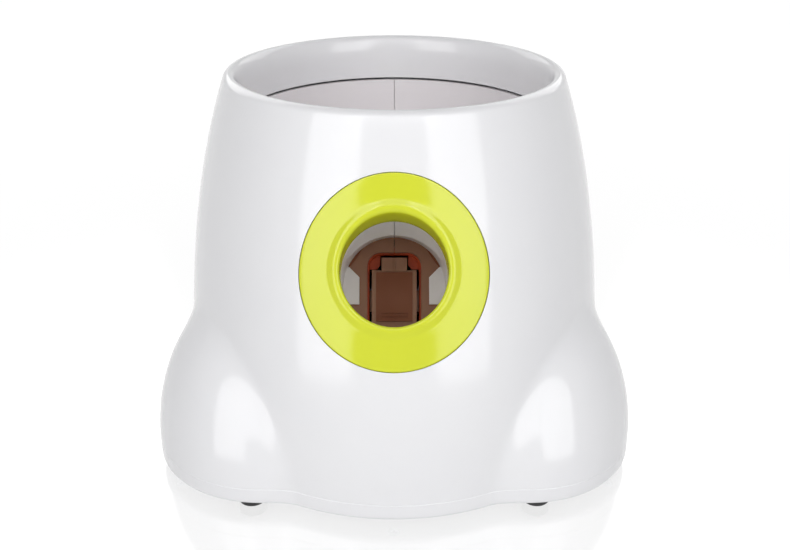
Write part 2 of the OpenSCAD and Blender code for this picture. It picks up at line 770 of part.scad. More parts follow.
module gear_frame(side) {
    x0 = side > 0 ? frame_x : -frame_out;
    difference() {
        union() {
            intersection() {
                at_mouth() union() {
                    translate([0, 0, -breech_l - plate_t]) linear_extrude(plate_t) difference() {
                        breech_outline();
                        slot_outline(0);
                    }
                    // thin tab that closes the barrel's corner beside the gear cover
                    translate([side > 0 ? frame_out - cut : -breech_corner_x, breech_corner_low, -breech_l - 1])
                        cube([breech_corner_x - frame_out + cut, plate_side_low - breech_corner_low + cut, 1]);
                }
                half_space(side, seam_gap);
            }
            side_slab(x0, x0 + frame_t) polygon(frame_outline);
            translate([side > 0 ? frame_x : -frame_x - frame_foot_w, frame_front, deck_z])
                cube([frame_foot_w, frame_back - frame_front, frame_foot_t]);
            for (p = ties) x_rod(p, tie_r, side > 0 ? 0 : -frame_x - cut, side > 0 ? frame_x + cut : 0);
        }
        for (m = frame_mounts)
            translate([side * m[0], m[1], deck_z - cut]) cylinder(r = screw_r, h = frame_foot_t + 2 * cut);
        for (p = ties) x_rod(p, screw_r, side > 0 ? -cut : -far / 4, side > 0 ? frame_x - 4 : cut);
        x_rod(pivot, axle_r + bush_wall, x0 - cut, x0 + frame_t + cut);
        for (s = plate_screws)
            at_mouth() translate([side * s[0], s[1], -breech_l - plate_t - cut])
                cylinder(r = screw_r, h = plate_t + 2 * cut);
        if (side > 0) {
            x_rod(winding_at, winding_axle_r, frame_x - cut, frame_out + cut);
            x_rod(reduction_at, reduction_axle_r, frame_x - cut, frame_out + cut);
            x_rod(motor_at, motor_boss_r, frame_x - cut, frame_out + cut);
            for (s = [-1, 1])
                x_rod(motor_at + [0, s * motor_screw_d], screw_r, frame_x - cut, frame_out + cut);
            for (p = cover_ears) x_rod(p, screw_r, frame_x - cut, frame_out + cut);
        }
    }
}

module gear_frame_left() {
    color([0.42, 0.31, 0.25]) on_axis() gear_frame(-1);
}

module gear_frame_right() {
    color([0.45, 0.33, 0.26]) on_axis() gear_frame(1);
}

module frame_screws() {
    color("silver") on_axis() for (p = ties)
        translate([-frame_out, p[0], p[1]]) rotate([0, -90, 0]) screw(frame_out + frame_x - 4);
}

module mount_screws() {
    color("silver") on_axis() for (m = frame_mounts, s = [-1, 1])
        translate([s * m[0], m[1], deck_z + frame_foot_t]) screw(14);
}

// ======== hammer ========
module hammer() {
    arm_low = 2 - pivot_drop;
    arm = hammer_top - arm_low;
    hub_x = hammer_w / 2 + 0.4;
    color([0.36, 0.25, 0.17]) on_axis() difference() {
        union() {
            at_mouth() {
                for (s = [-1, 1]) {
                    translate([s > 0 ? hammer_w / 2 - rib_t : -hammer_w / 2, arm_low, -rib_back])
                        cube([rib_t, arm, rib_back - hammer_front]);
                    translate([s > 0 ? hammer_w / 2 - cut : -wing_x, wing_low, -wing_back])
                        cube([wing_x - hammer_w / 2 + cut, wing_high - wing_low, wing_back - wing_front]);
                }
                translate([-hammer_w / 2 + cut, arm_low, -breech_l - face_t])
                    cube([hammer_w - 2 * cut, arm, face_t]);
                for (b = [-24, -4])
                    translate([-hammer_w / 2 + cut, b, -rib_back + 2])
                        cube([hammer_w - 2 * cut, 2, rib_back - breech_l - 3]);
                translate([-0.5, hammer_top, -breech_l + 0.6]) cube([1, tip_top - hammer_top - 1, 1.4]);
                translate([-tip_w / 2, hammer_top - cut, -breech_l - 9])
                    cube([tip_w, tip_top - hammer_top + cut, 9 + pad_t - 0.6]);
            }
            x_rod(pivot, hub_r, -hub_x, hub_x);
            x_rod(pivot, spool_r, -spool_x, spool_x);
        }
        x_rod(pivot, axle_r, -spool_x - cut, spool_x + cut);
    }
}

module striker_pad() {
    pad_low = -20;
    groove = 0.5;
    color([0.3, 0.22, 0.15]) on_axis() at_mouth() difference() {
        translate([-hammer_w / 2 + rib_t, pad_low, -breech_l])
            cube([hammer_w - 2 * rib_t, hammer_top - 1.3 - pad_low, pad_t]);
        for (b = [pad_low + 2, pad_low + 4])
            translate([-hammer_w / 2 + rib_t + 3, b, -breech_l + pad_t - groove])
                cube([hammer_w - 2 * rib_t - 6, 0.8, groove + cut]);
    }
}

module bumper() {
    side = frame_x - 0.5;
    color([0.85, 0.35, 0.1]) on_axis() at_mouth()
        translate([0, 0, -breech_l - plate_t - bumper_t]) linear_extrude(bumper_t) difference() {
            translate([-side, -20]) square([2 * side, slot_top + 3 + 20]);
            slot_outline(bumper_in);
        }
}

module hammer_axle() {
    color("silver") on_axis() x_rod(pivot, axle_r, -frame_out - 2.4, cover_x + cover_t + 2.4);
}

module axle_clips() {
    clip_t = 0.8;
    color([0.3, 0.3, 0.32]) on_axis()
        for (x = [-frame_out - 1 - running - clip_t, cover_x + cover_t + 1 + running])
            translate([x, pivot[0], pivot[1]]) rotate([0, 90, 0]) difference() {
                cylinder(r = axle_r + 2.2, h = clip_t);
                translate([0, 0, -cut]) cylinder(r = axle_r, h = clip_t + 2 * cut);
                translate([0, -1.5, -cut]) cube([10, 3, clip_t + 2 * cut]);
            }
}

module bush(x0, x1, flange_x0, flange_x1) {
    difference() {
        union() {
            x_rod(pivot, axle_r + bush_wall, x0, x1);
            x_rod(pivot, axle_r + bush_wall + 1.5, flange_x0, flange_x1);
        }
        x_rod(pivot, axle_r + running, min(x0, flange_x0) - cut, max(x1, flange_x1) + cut);
    }
}

module axle_bushes() {
    color([0.72, 0.53, 0.25]) on_axis() {
        bush(-frame_out, -frame_x, -frame_out - 1, -frame_out);
        bush(frame_x, frame_out, frame_out, frame_out + 1);
        bush(cover_x, cover_x + cover_t, cover_x + cover_t, cover_x + cover_t + 1);
    }
}

// ---- torsion springs: an unbroken wire from the rear tie, round the hub and up the hammer's back ----
spring_r = spool_r + 0.9 + spring_wire / 2;
spring_rise = spring_wire + 0.45;
spring_start_x = 19.5 - spring_wire / 2;
hammer_angle = 90 - outlet_tilt;
spring_sides = 6;
tie_leg = ties[0] - pivot;
// the fixed leg leaves the coil at its top and passes just over the rear tie
leg_reach = norm(tie_leg);
leg_clear = tie_r + spring_wire / 2 + 0.1;
leg_angle = atan2(tie_leg[1], tie_leg[0]) + asin((spring_r - leg_clear) / leg_reach) * -1;
fixed_angle = leg_angle + 90;
free_angle = hammer_angle - 90;
spring_sweep = 720 + free_angle - fixed_angle;
spring_rings = 18;

function spring_path() = concat(
    [let (p = pivot + spring_r * [cos(fixed_angle), sin(fixed_angle)]
            + (leg_reach + 4) * [cos(leg_angle), sin(leg_angle)]) [spring_start_x, p[0], p[1]]],
    [for (i = [0:spring_rings])
        let (a = fixed_angle + spring_sweep * i / spring_rings)
        [spring_start_x - spring_rise * spring_sweep / 360 * i / spring_rings,
         pivot[0] + spring_r * cos(a), pivot[1] + spring_r * sin(a)]],
    [let (p = pivot + spring_r * [cos(free_angle), sin(free_angle)]
            + (pivot_drop + 2) * [cos(hammer_angle), sin(hammer_angle)])
        [spring_start_x - spring_rise * spring_sweep / 360, p[0], p[1]]]);

// a tube of spring_sides sides swept along a path that stays nearly square to X
module wire(path, r) {
    n = len(path);
    rings = [for (i = [0:n - 1])
        let (d = unit(path[min(i + 1, n - 1)] - path[max(i - 1, 0)]),
             u = unit(cross(d, [1, 0, 0])),
             v = cross(d, u))
        [for (k = [0:spring_sides - 1])
            path[i] + r * (u * cos(360 * k / spring_sides) + v * sin(360 * k / spring_sides))]];
    points = [for (ring = rings) each ring];
    walls = [for (i = [0:n - 2], k = [0:spring_sides - 1])
        let (a = i * spring_sides + k, b = i * spring_sides + (k + 1) % spring_sides)
        each [[a, a + spring_sides, b], [b, a + spring_sides, b + spring_sides]]];
    first = [for (k = [1:spring_sides - 2]) [0, k, k + 1]];
    last_0 = (n - 1) * spring_sides;
    last = [for (k = [1:spring_sides - 2]) [last_0, last_0 + k + 1, last_0 + k]];
    polyhedron(points, concat(walls, first, last));
}

// least gap between two turns, measured on the path's points
function least_gap(path, apart, thick) =
    min([for (i = [0:len(path) - 1 - apart], j = [i + apart:len(path) - 1]) norm(path[i] - path[j])]) - thick;
echo(hammer_spring_gap = least_gap(spring_path(), 6, spring_wire));

module hammer_springs() {
    color([0.75, 0.76, 0.78]) on_axis() for (s = [0, 1])
        mirror([s, 0, 0]) wire(spring_path(), spring_wire / 2);
}

// ======== gears ========
function involute(a) = tan(a) * 180 / PI - a;
function tooth_half(r, base, half) = half - (r > base ? involute(acos(base / r)) : 0);

module gear_outline(m, teeth) {
    r = m * teeth / 2;
    base = r * cos(pressure_angle);
    root = r - dedendum * m;
    tip = r + addendum * m;
    low = max(root, base);
    half = 90 / teeth - backlash / 4 / r * 180 / PI + involute(pressure_angle);
    flank_n = 4;
    radii = concat(root < base ? [root] : [], [for (i = [0:flank_n]) low + (tip - low) * i / flank_n]);
    up = [for (q = radii) [q, -tooth_half(q, base, half)]];
    down = [for (i = [len(radii) - 1:-1:0]) [radii[i], tooth_half(radii[i], base, half)]];
    polygon([for (k = [0:teeth - 1], q = concat(up, down))
        q[0] * [cos(q[1] + 360 * k / teeth), sin(q[1] + 360 * k / teeth)]]);
}

module wedge(from, to, r) {
    wedge_n = 4;
    polygon(concat([[0, 0]], [for (i = [0:wedge_n]) let (a = from + (to - from) * i / wedge_n)
        r * [cos(a), sin(a)]]));
}

module gear_slab(at, x0, x1) {
    side_slab(x0, x1) translate(at) children();
}

module sector_gear() {
    tooth_angle = 360 / sector_teeth;
    color([0.9, 0.55, 0.2]) on_axis() difference() {
        union() {
            gear_slab(pivot, layer_sector, layer_sector + gear_face) intersection() {
                rotate(sector_turn) gear_outline(sector_module, sector_teeth);
                wedge(sector_turn - 1.5 * tooth_angle, sector_turn + 4.5 * tooth_angle, 2 * sector_r);
            }
            x_rod(pivot, sector_hub_r, layer_wheel, layer_sector + gear_face);
        }
        x_rod(pivot, axle_r, layer_wheel - cut, layer_sector + gear_face + cut);
    }
}

module winding_gear() {
    tooth_angle = 360 / winding_teeth;
    teeth_from = winding_turn - 4.5 * tooth_angle;
    teeth_to = winding_turn + 1.5 * tooth_angle;
    color([0.92, 0.9, 0.84]) on_axis() difference() {
        union() {
            gear_slab(winding_at, layer_wheel, layer_wheel + gear_face)
                gear_outline(winding_module, winding_wheel_teeth);
            gear_slab(winding_at, layer_wheel + gear_face - 0.1, layer_sector + gear_face) {
                circle(r = winding_r - dedendum * sector_module);
                intersection() {
                    rotate(winding_turn) gear_outline(sector_module, winding_teeth);
                    wedge(teeth_from, teeth_to, 2 * winding_r);
                }
            }
            x_rod(winding_at, 5, frame_out + 0.2, layer_wheel);
        }
        x_rod(winding_at, winding_axle_r + running, frame_out, layer_sector + gear_face + cut);
    }
}

module winding_axle() {
    color("silver") on_axis() x_rod(winding_at, winding_axle_r, frame_x, cover_x + cover_t);
}

module reduction_gear() {
    color([0.9, 0.88, 0.82]) on_axis() difference() {
        union() {
            gear_slab(reduction_at, layer_fast, layer_fast + gear_face)
                gear_outline(fast_module, reduction_wheel_teeth);
            gear_slab(reduction_at, layer_fast + gear_face - 0.1, layer_wheel + gear_face)
                rotate(reduction_turn) gear_outline(winding_module, pinion_teeth);
            x_rod(reduction_at, 4.5, frame_out + 0.2, layer_fast + cut);
            x_rod(reduction_at, 4.5, layer_wheel + gear_face - cut, cover_x - 0.2);
        }
        x_rod(reduction_at, reduction_axle_r + running, frame_out, cover_x + cut);
    }
}

module reduction_axle() {
    color("silver") on_axis() x_rod(reduction_at, reduction_axle_r, frame_x, cover_x + cover_t);
}

module cover_outline(inset) {
    translate(pivot) circle(r = sector_r + sector_module + cover_room - inset);
    translate(winding_at) circle(r = wheel_r + winding_module + cover_room - inset);
    translate(reduction_at) circle(r = fast_r + fast_module + cover_room - inset);
    translate(motor_at) circle(r = motor_cover_r - inset);
}

module gear_cover() {
    color([0.35, 0.36, 0.38]) on_axis() difference() {
        union() {
            side_slab(cover_x, cover_x + cover_t) cover_outline(0);
            side_slab(frame_out, cover_x + cut) difference() {
                cover_outline(0);
                cover_outline(cover_wall);
            }
            for (p = cover_ears) x_rod(p, ear_r, frame_out, cover_x + cover_t);
        }
        for (p = cover_ears) x_rod(p, screw_r, frame_out - cut, cover_x + cover_t + cut);
        x_rod(pivot, axle_r + bush_wall, cover_x - cut, cover_x + cover_t + cut);
        x_rod(winding_at, winding_axle_r, cover_x - cut, cover_x + cover_t + cut);
        x_rod(reduction_at, reduction_axle_r, cover_x - cut, cover_x + cover_t + cut);
    }
}

module cover_screws() {
    color("silver") on_axis() for (p = cover_ears)
        translate([cover_x + cover_t, p[0], p[1]]) rotate([0, 90, 0]) screw(cover_x + cover_t - frame_x);
}

// ======== motor ========
module motor() {
    end_cap = 6;
    color([0.6, 0.61, 0.63]) on_axis() difference() {
        union() {
            x_rod(motor_at, motor_r, frame_x - motor_l, frame_x);
            x_rod(motor_at, motor_boss_r, frame_x - cut, frame_out);
            x_rod(motor_at, 4, frame_x - motor_l - 2, frame_x - motor_l + cut);
        }
        x_rod(motor_at, motor_shaft_r + running, frame_x - motor_l + end_cap, frame_out + cut);
        for (s = [-1, 1])
            x_rod(motor_at + [0, s * motor_screw_d], screw_r, frame_x - 5, frame_x + cut);
    }
}

module motor_screws() {
    color("silver") on_axis() for (s = [-1, 1])
        translate([frame_out, motor_at[0], motor_at[1] + s * motor_screw_d])
            rotate([0, 90, 0]) screw(frame_t + 5, screw_r, motor_screw_head_r, 1.8);
}

module motor_shaft() {
    color("silver") on_axis()
        x_rod(motor_at, motor_shaft_r, frame_x - motor_l + 6.5, layer_fast + gear_face + 0.5);
}

module motor_pinion() {
    color([0.8, 0.65, 0.3]) on_axis() difference() {
        gear_slab(motor_at, layer_fast, layer_fast + gear_face)
            rotate(motor_turn) gear_outline(fast_module, pinion_teeth);
        x_rod(motor_at, motor_shaft_r, layer_fast - cut, layer_fast + gear_face + cut);
    }
}

// ======== control panel at the back ========
module panel_reach() {
    translate([-panel_l, 0, panel_z - panel_h]) cube([2 * panel_l, body_r + 20, 2 * panel_h]);
}

module panel_bezel() {
    z0 = panel_z - panel_h / 2 - 8;
    z1 = panel_z + panel_h / 2 + 8;
    color([0.87, 0.9, 0.24]) on_axis() difference() {
        union() {
            intersection() {
                band(-bezel_proud, bezel_back + gap, z0, z1);
                through_panel(panel_in, panel_out, 0);
                panel_reach();
            }
            intersection() {
                band(bezel_back, bezel_back + bezel_lip_t, z0, z1);
                through_panel(panel_in, panel_out, bezel_lip_w);
                panel_reach();
            }
            for (s = [-1, 1]) panel_rod(s * bezel_screw_x, 3, board_y + board_t, bezel_in(bezel_screw_x) + cut);
        }
        for (x = button_x) panel_rod(x, button_r + gap, panel_in, panel_out);
        panel_rod(lens_x, lens_r, panel_in, panel_out);
        for (s = [-1, 1]) panel_rod(s * bezel_screw_x, 1.2, board_y, bezel_in(bezel_screw_x) - 0.6);
    }
}

function bezel_in(x) = skin_depth(x, panel_z, bezel_back + bezel_lip_t);
function bezel_out(x) = skin_depth(x, panel_z, -bezel_proud);

module panel_rod(x, r, y0, y1) {
    translate([x, y1, panel_z]) rotate([90, 0, 0]) cylinder(r = r, h = y1 - y0);
}

module panel_button(x, r = button_r) {
    flange_y = skin_depth(abs(x) + r + button_flange, panel_z + r, bezel_back + bezel_lip_t) - gap;
    stem_end = board_y + board_t + switch_t + button_travel + 0.2;
    dome = 0.8;
    panel_rod(x, r, flange_y - cut, bezel_out(x) + button_proud - dome);
    translate([x, bezel_out(x) + button_proud, panel_z]) rotate([90, 0, 0])
        cylinder(r1 = r - dome, r2 = r, h = dome);
    panel_rod(x, r + button_flange, flange_y - button_flange_t, flange_y);
    panel_rod(x, 2, stem_end, flange_y);
}

module power_button() {
    color("white") on_axis() panel_button(button_x[0]);
}

module short_button() {
    color("white") on_axis() panel_button(button_x[1]);
}

module medium_button() {
    color("white") on_axis() panel_button(button_x[2]);
}

module long_button() {
    color("white") on_axis() panel_button(button_x[3]);
}

module status_lens() {
    color([0.6, 0.95, 0.6]) on_axis()
        panel_rod(lens_x, lens_r, bezel_in(lens_x) - 1, bezel_out(lens_x) + 0.3);
}

module button_board() {
    color([0.1, 0.4, 0.2]) on_axis() difference() {
        union() {
            translate([-board_l / 2, board_y, panel_z - board_h / 2]) cube([board_l, board_t, board_h]);
            for (x = button_x)
                translate([x - switch_w / 2, board_y + board_t - cut, panel_z - switch_w / 2])
                    cube([switch_w, switch_t + cut, switch_w]);
        }
        for (s = [-1, 1]) panel_rod(s * bezel_screw_x, 1.2, board_y - cut, board_y + board_t + cut);
    }
}

module panel_screws() {
    color("silver") on_axis() for (s = [-1, 1])
        translate([s * bezel_screw_x, board_y, panel_z]) rotate([90, 0, 0]) screw(6, 1.2, 2.2, 1.4);
}

// ======== electronics ========
module main_board() {
    chip = [14, 2, 14];
    color([0.1, 0.4, 0.2]) on_axis() difference() {
        union() {
            translate([-main_board_w / 2, main_board_y, main_board_z[0]])
                cube([main_board_w, board_t, main_board_z[1] - main_board_z[0]]);
            translate([-7, main_board_y + board_t - 0.1, main_board_z[1] - 36]) cube(chip);
            for (x = [-main_board_w / 2 + 12, main_board_w / 2 - 20])
                translate([x, main_board_y + board_t - 0.1, main_board_z[1] - 18]) cube([10, 7, 8]);
        }
    }
}

module speaker() {
    floor_z = base_z + floor_t;
    color([0.2, 0.2, 0.22]) on_axis() translate([0, speaker_y, floor_z]) {
        cylinder(r = speaker_r, h = 3);
        translate([0, 0, 3]) cylinder(r1 = speaker_r - 2, r2 = 9, h = 3);
        translate([0, 0, 6]) cylinder(r = 9, h = speaker_h - 6);
    }
}

module ball_sensors() {
    at = barrel_point(ball_l, ball_b);
    color([0.15, 0.1, 0.2]) on_axis() for (s = [0, 1]) mirror([s, 0, 0]) {
        x_rod(at, sensor_r, barrel_r + 0.2, sensor_seat + 1.2);
        x_rod(at, 3.4, sensor_seat, sensor_seat + 1.2);
    }
}

module dc_socket() {
    face = socket_seat + socket_face;
    contact_l = 11;
    color([0.12, 0.12, 0.13]) on_axis() {
        difference() {
            union() {
                socket_rod(socket_flange_r, socket_seat, face);
                socket_rod(socket_r, face - 20, face - 0.5);
            }
            socket_rod(plug_recess_r, face - plug_recess_l, face + cut);
            socket_rod(3.2, face - plug_recess_l - contact_l, face);
        }
        socket_rod(1, face - plug_recess_l - contact_l - cut, face - plug_recess_l - 1.5);
    }
}

module socket_nut() {
    back = socket_seat - socket_pad;
    color("silver") on_axis() difference() {
        translate([0, back, socket_z]) rotate([90, 0, 0]) cylinder(r = socket_r + 3, h = 2.5, $fn = 6);
        socket_rod(socket_r, back - 3 - cut, back + cut);
    }
}

// ======== batteries ========
module battery_cells() {
    first_x = -battery_x + contact_t;
    color([0.75, 0.55, 0.25]) on_axis() for (row = [-1:1], i = [0, 1]) {
        flip = row == 0 ? 1 : 0;
        mirror([flip, 0, 0]) translate([first_x + i * cell_l, row * cell_pitch, cell_z]) rotate([0, 90, 0]) {
            translate([0, 0, nub_l]) cylinder(r = cell_r, h = cell_l - nub_l - cell_rest);
            cylinder(r = nub_r, h = nub_l + 0.1);
        }
    }
}

module battery_contacts() {
    half = 5;
    color("silver") on_axis() for (row = [-1:1], s = [-1, 1])
        translate([s > 0 ? battery_x - contact_t : -battery_x, row * cell_pitch - half, cell_z - half])
            cube([contact_t, 2 * half, 2 * half]);
}

coil_turns = 3;
coil_wire = 0.8;
coil_rings = 8;
function coil_path() =
    let (x0 = battery_x - contact_t - coil_wire / 2, l = spring_l - coil_wire)
    [for (i = [0:coil_turns * coil_rings])
        let (f = i / (coil_turns * coil_rings), a = 360 * i / coil_rings, r = 5 - 2 * f)
        [x0 - l * f, r * cos(a), r * sin(a)]];

echo(battery_spring_gap = least_gap(coil_path(), 6, coil_wire));

module battery_springs() {
    color("silver") on_axis() for (row = [-1:1]) {
        flip = row == 0 ? 1 : 0;
        mirror([flip, 0, 0]) translate([0, row * cell_pitch, cell_z]) wire(coil_path(), coil_wire / 2);
    }
}

module battery_door() {
    color("white") on_axis() difference() {
        translate([-battery_x - door_lap, -battery_y - door_lap, base_z])
            cube([door_l, 2 * (battery_y + door_lap), door_t]);
        translate([door_screw_x, 0, base_z - cut]) cylinder(r = screw_r, h = door_t + 2 * cut);
        translate([door_screw_x, 0, base_z - cut]) cylinder(r = screw_head_r + gap, h = 1 + cut);
    }
}

module door_screw() {
    color("silver") on_axis() translate([door_screw_x, 0, base_z + 1]) mirror([0, 0, 1])
        screw(7, screw_r, screw_head_r, 1);
}

outer_shell();
base_tray();
rubber_feet();
base_screws();
outlet_ring();
chute_left();
chute_right();
chute_screws();
hopper_screws();
breech_screws();
gear_frame_left();
gear_frame_right();
frame_screws();
mount_screws();
hammer();
striker_pad();
bumper();
hammer_axle();
axle_clips();
axle_bushes();
hammer_springs();
sector_gear();
winding_gear();
winding_axle();
reduction_gear();
reduction_axle();
motor();
motor_screws();
motor_shaft();
motor_pinion();
gear_cover();
cover_screws();
panel_bezel();
power_button();
short_button();
medium_button();
long_button();
status_lens();
button_board();
panel_screws();
main_board();
speaker();
ball_sensors();
dc_socket();
socket_nut();
battery_cells();
battery_contacts();
battery_springs();
battery_door();
door_screw();
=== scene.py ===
"""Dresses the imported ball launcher: smooth moulded casing, lime outlet, buttons, springs and finishes."""
import json
import logging
from dataclasses import dataclass, field
from enum import Enum
from math import asin, atan, atan2, cos, hypot, pi, radians, sin, sqrt
from typing import Callable, Sequence

import bmesh
import bpy
import numpy as np
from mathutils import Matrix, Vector


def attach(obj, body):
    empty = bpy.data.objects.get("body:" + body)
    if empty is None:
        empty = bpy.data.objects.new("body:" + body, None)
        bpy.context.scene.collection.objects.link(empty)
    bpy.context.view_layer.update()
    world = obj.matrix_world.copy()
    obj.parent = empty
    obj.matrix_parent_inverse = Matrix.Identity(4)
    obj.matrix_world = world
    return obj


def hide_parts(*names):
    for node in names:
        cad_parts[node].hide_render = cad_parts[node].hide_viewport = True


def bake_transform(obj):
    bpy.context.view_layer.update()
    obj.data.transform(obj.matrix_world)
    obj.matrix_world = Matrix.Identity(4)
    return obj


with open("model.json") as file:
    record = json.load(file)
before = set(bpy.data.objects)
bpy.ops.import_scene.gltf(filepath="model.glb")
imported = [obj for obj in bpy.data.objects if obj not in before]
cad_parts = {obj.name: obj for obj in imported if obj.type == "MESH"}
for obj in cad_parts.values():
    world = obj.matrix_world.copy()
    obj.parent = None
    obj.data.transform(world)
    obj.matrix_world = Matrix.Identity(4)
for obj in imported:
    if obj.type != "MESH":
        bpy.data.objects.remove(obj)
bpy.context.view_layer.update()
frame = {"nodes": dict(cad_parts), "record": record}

MM = 0.001
AIM_Z = 0.12
LOG = logging.getLogger("launcher")
Flat = tuple[float, float]
Point = tuple[float, float, float]
Loop = Sequence[Point]
Piece = bpy.types.Object
Tree = bpy.types.NodeTree
Socket = bpy.types.NodeSocket


# ---------------------------------------------------------------- small tools
def linear(hex_colour: str) -> tuple[float, float, float, float]:
    """Turns an sRGB hex colour into linear RGBA.

    Args:
        hex_colour: six hex digits with a leading hash.

    Returns:
        Red, green, blue and alpha, each from 0 to 1.
    """
    parts = [int(hex_colour[i:i + 2], 16) / 255 for i in (1, 3, 5)]
    return (*(c / 12.92 if c <= 0.04045 else ((c + 0.055) / 1.055) ** 2.4 for c in parts), 1.0)


def add_node(tree: Tree, kind: str, settings: dict | None = None, links: dict | None = None) -> bpy.types.Node:
    """Adds one node with its settings and links.

    Args:
        tree: the node tree that takes the node.
        kind: the shader node's type, without its family's name.
        settings: property names, or input names or numbers, with their values.
        links: input names or numbers, with the output socket that feeds each.

    Returns:
        The new node.
    """
    node = tree.nodes.new("ShaderNode" + kind)
    for key, value in (settings or {}).items():
        if isinstance(key, int) or key in node.inputs:
            node.inputs[key].default_value = value
        else:
            setattr(node, key, value)
    for key, socket in (links or {}).items():
        tree.links.new(socket, node.inputs[key])
    return node


def turns(count: int) -> list[float]:
    """Gives the angles that part a full turn evenly."""
    return [2 * pi * k / count for k in range(count)]


def spread(start: float, end: float, count: int) -> list[float]:
    """Gives numbers in even steps from start to end, both of them included."""
    return [start + (end - start) * i / count for i in range(count + 1)]


def polar(r: float, a: float) -> Flat:
    """Gives the point at a radius and an angle."""
    return r * cos(a), r * sin(a)


def make_object(name: str, verts: Sequence[Point], faces: Sequence[Sequence[int]]) -> Piece:
    """Makes a mesh object from points in millimetres about the launcher's own axis.

    Args:
        name: the piece's name.
        verts: points in millimetres.
        faces: vertex numbers of each face.

    Returns:
        The linked object, with its face normals turned outwards.
    """
    mesh = bpy.data.meshes.new(name)
    mesh.from_pydata([(x * MM, (y + FORM.axis_y) * MM, z * MM) for x, y, z in verts], [], faces)
    work = bmesh.new()
    work.from_mesh(mesh)
    bmesh.ops.remove_doubles(work, verts=work.verts, dist=1e-7)
    bmesh.ops.recalc_face_normals(work, faces=work.faces)
    work.to_mesh(mesh)
    work.free()
    obj = bpy.data.objects.new(name, mesh)
    bpy.context.scene.collection.objects.link(obj)
    return obj


def loft(name: str, loops: Sequence[Loop], ring: bool = False, caps: bool = True) -> Piece:
    """Skins a row of closed loops that have the same number of points.

    Args:
        name: the piece's name.
        loops: the loops in order.
        ring: whether the last loop joins the first.
        caps: whether the end loops are closed by a face, if they don't join.

    Returns:
        The skinned object.
    """
    n, verts, faces = len(loops[0]), [p for loop in loops for p in loop], []
    for i in range(len(loops) if ring else len(loops) - 1):
        a, b = i * n, (i + 1) % len(loops) * n
        faces += [(a + k, a + (k + 1) % n, b + (k + 1) % n, b + k) for k in range(n)]
    if caps and not ring:
        faces += [tuple(range(n))[::-1], tuple(range((len(loops) - 1) * n, len(loops) * n))]
    return make_object(name, verts, faces)


def lathe(name: str, profile: Sequence[Flat], place: Callable[[float, float, float], Point],
          steps: int = 64) -> Piece:
    """Turns a profile of radius and height pairs about an axis; place gives the point of each step."""
    return loft(name, [[place(*polar(r, a), h) for a in turns(steps)] for r, h in profile])


def tube(name: str, path: Sequence[Point], radius: float, sides: int = 12) -> Piece:
    """Sweeps a round wire along a path.

    Args:
        name: the piece's name.
        path: the wire's centre line.
        radius: the wire's radius.
        sides: the number of sides of the wire.

    Returns:
        The wire as a closed mesh.
    """
    points = [Vector(p) for p in path]
    side, loops = Vector((1, 0, 0)), []
    for i, p in enumerate(points):
        along = (points[min(i + 1, len(points) - 1)] - points[max(i - 1, 0)]).normalized()
        side = (side - along * side.dot(along)).normalized()
        up = along.cross(side)
        loops.append([tuple(p + radius * (side * cos(a) + up * sin(a))) for a in turns(sides)])
    return loft(name, loops)


def joined(name: str, parts: Sequence[Piece]) -> Piece:
    """Puts several meshes into one object.

    Args:
        name: the new object's name.
        parts: the objects, which are used up.

    Returns:
        The object that holds them all.
    """
    work = bmesh.new()
    for part in parts:
        work.from_mesh(part.data)
        bpy.data.objects.remove(part)
    mesh = bpy.data.meshes.new(name)
    work.to_mesh(mesh)
    work.free()
    obj = bpy.data.objects.new(name, mesh)
    bpy.context.scene.collection.objects.link(obj)
    return obj


def carve(obj: Piece, tool: Piece, operation: str = "DIFFERENCE") -> None:
    """Cuts or adds one mesh from or to another for good.

    Args:
        obj: the piece that changes.
        tool: the cutter or the addition, which is used up.
        operation: the Boolean modifier's operation.
    """
    step = obj.modifiers.new("carve", "BOOLEAN")
    step.operation, step.solver, step.object = operation, "EXACT", tool
    ready = obj.evaluated_get(bpy.context.evaluated_depsgraph_get())
    mesh = bpy.data.meshes.new_from_object(ready)
    obj.modifiers.clear()
    obj.data = mesh
    bpy.data.objects.remove(tool)


def smooth(obj: Piece, degrees: float = 32.0) -> Piece:
    """Shades a mesh smooth except at edges sharper than an angle."""
    obj.data.polygons.foreach_set("use_smooth", [True] * len(obj.data.polygons))
    obj.data.set_sharp_from_angle(angle=radians(degrees))
    return obj


def block(low: Point, high: Point) -> Piece:
    """Makes a box-shaped tool between two corners, for carve() alone."""
    (x0, y0, z0), (x1, y1, z1) = low, high
    floor = [(x0, y0), (x1, y0), (x1, y1), (x0, y1)]
    return loft("tool", [[(x, y, z) for x, y in floor] for z in (z0, z1)])


def post(x: float, y: float, z0: float, z1: float, radius: float, steps: int = 48) -> Piece:
    """Makes an upright round tool, for carve() alone."""
    return lathe("tool", [(radius, z0), (radius, z1)], lambda a, b, h: (x + a, y + b, h), steps)


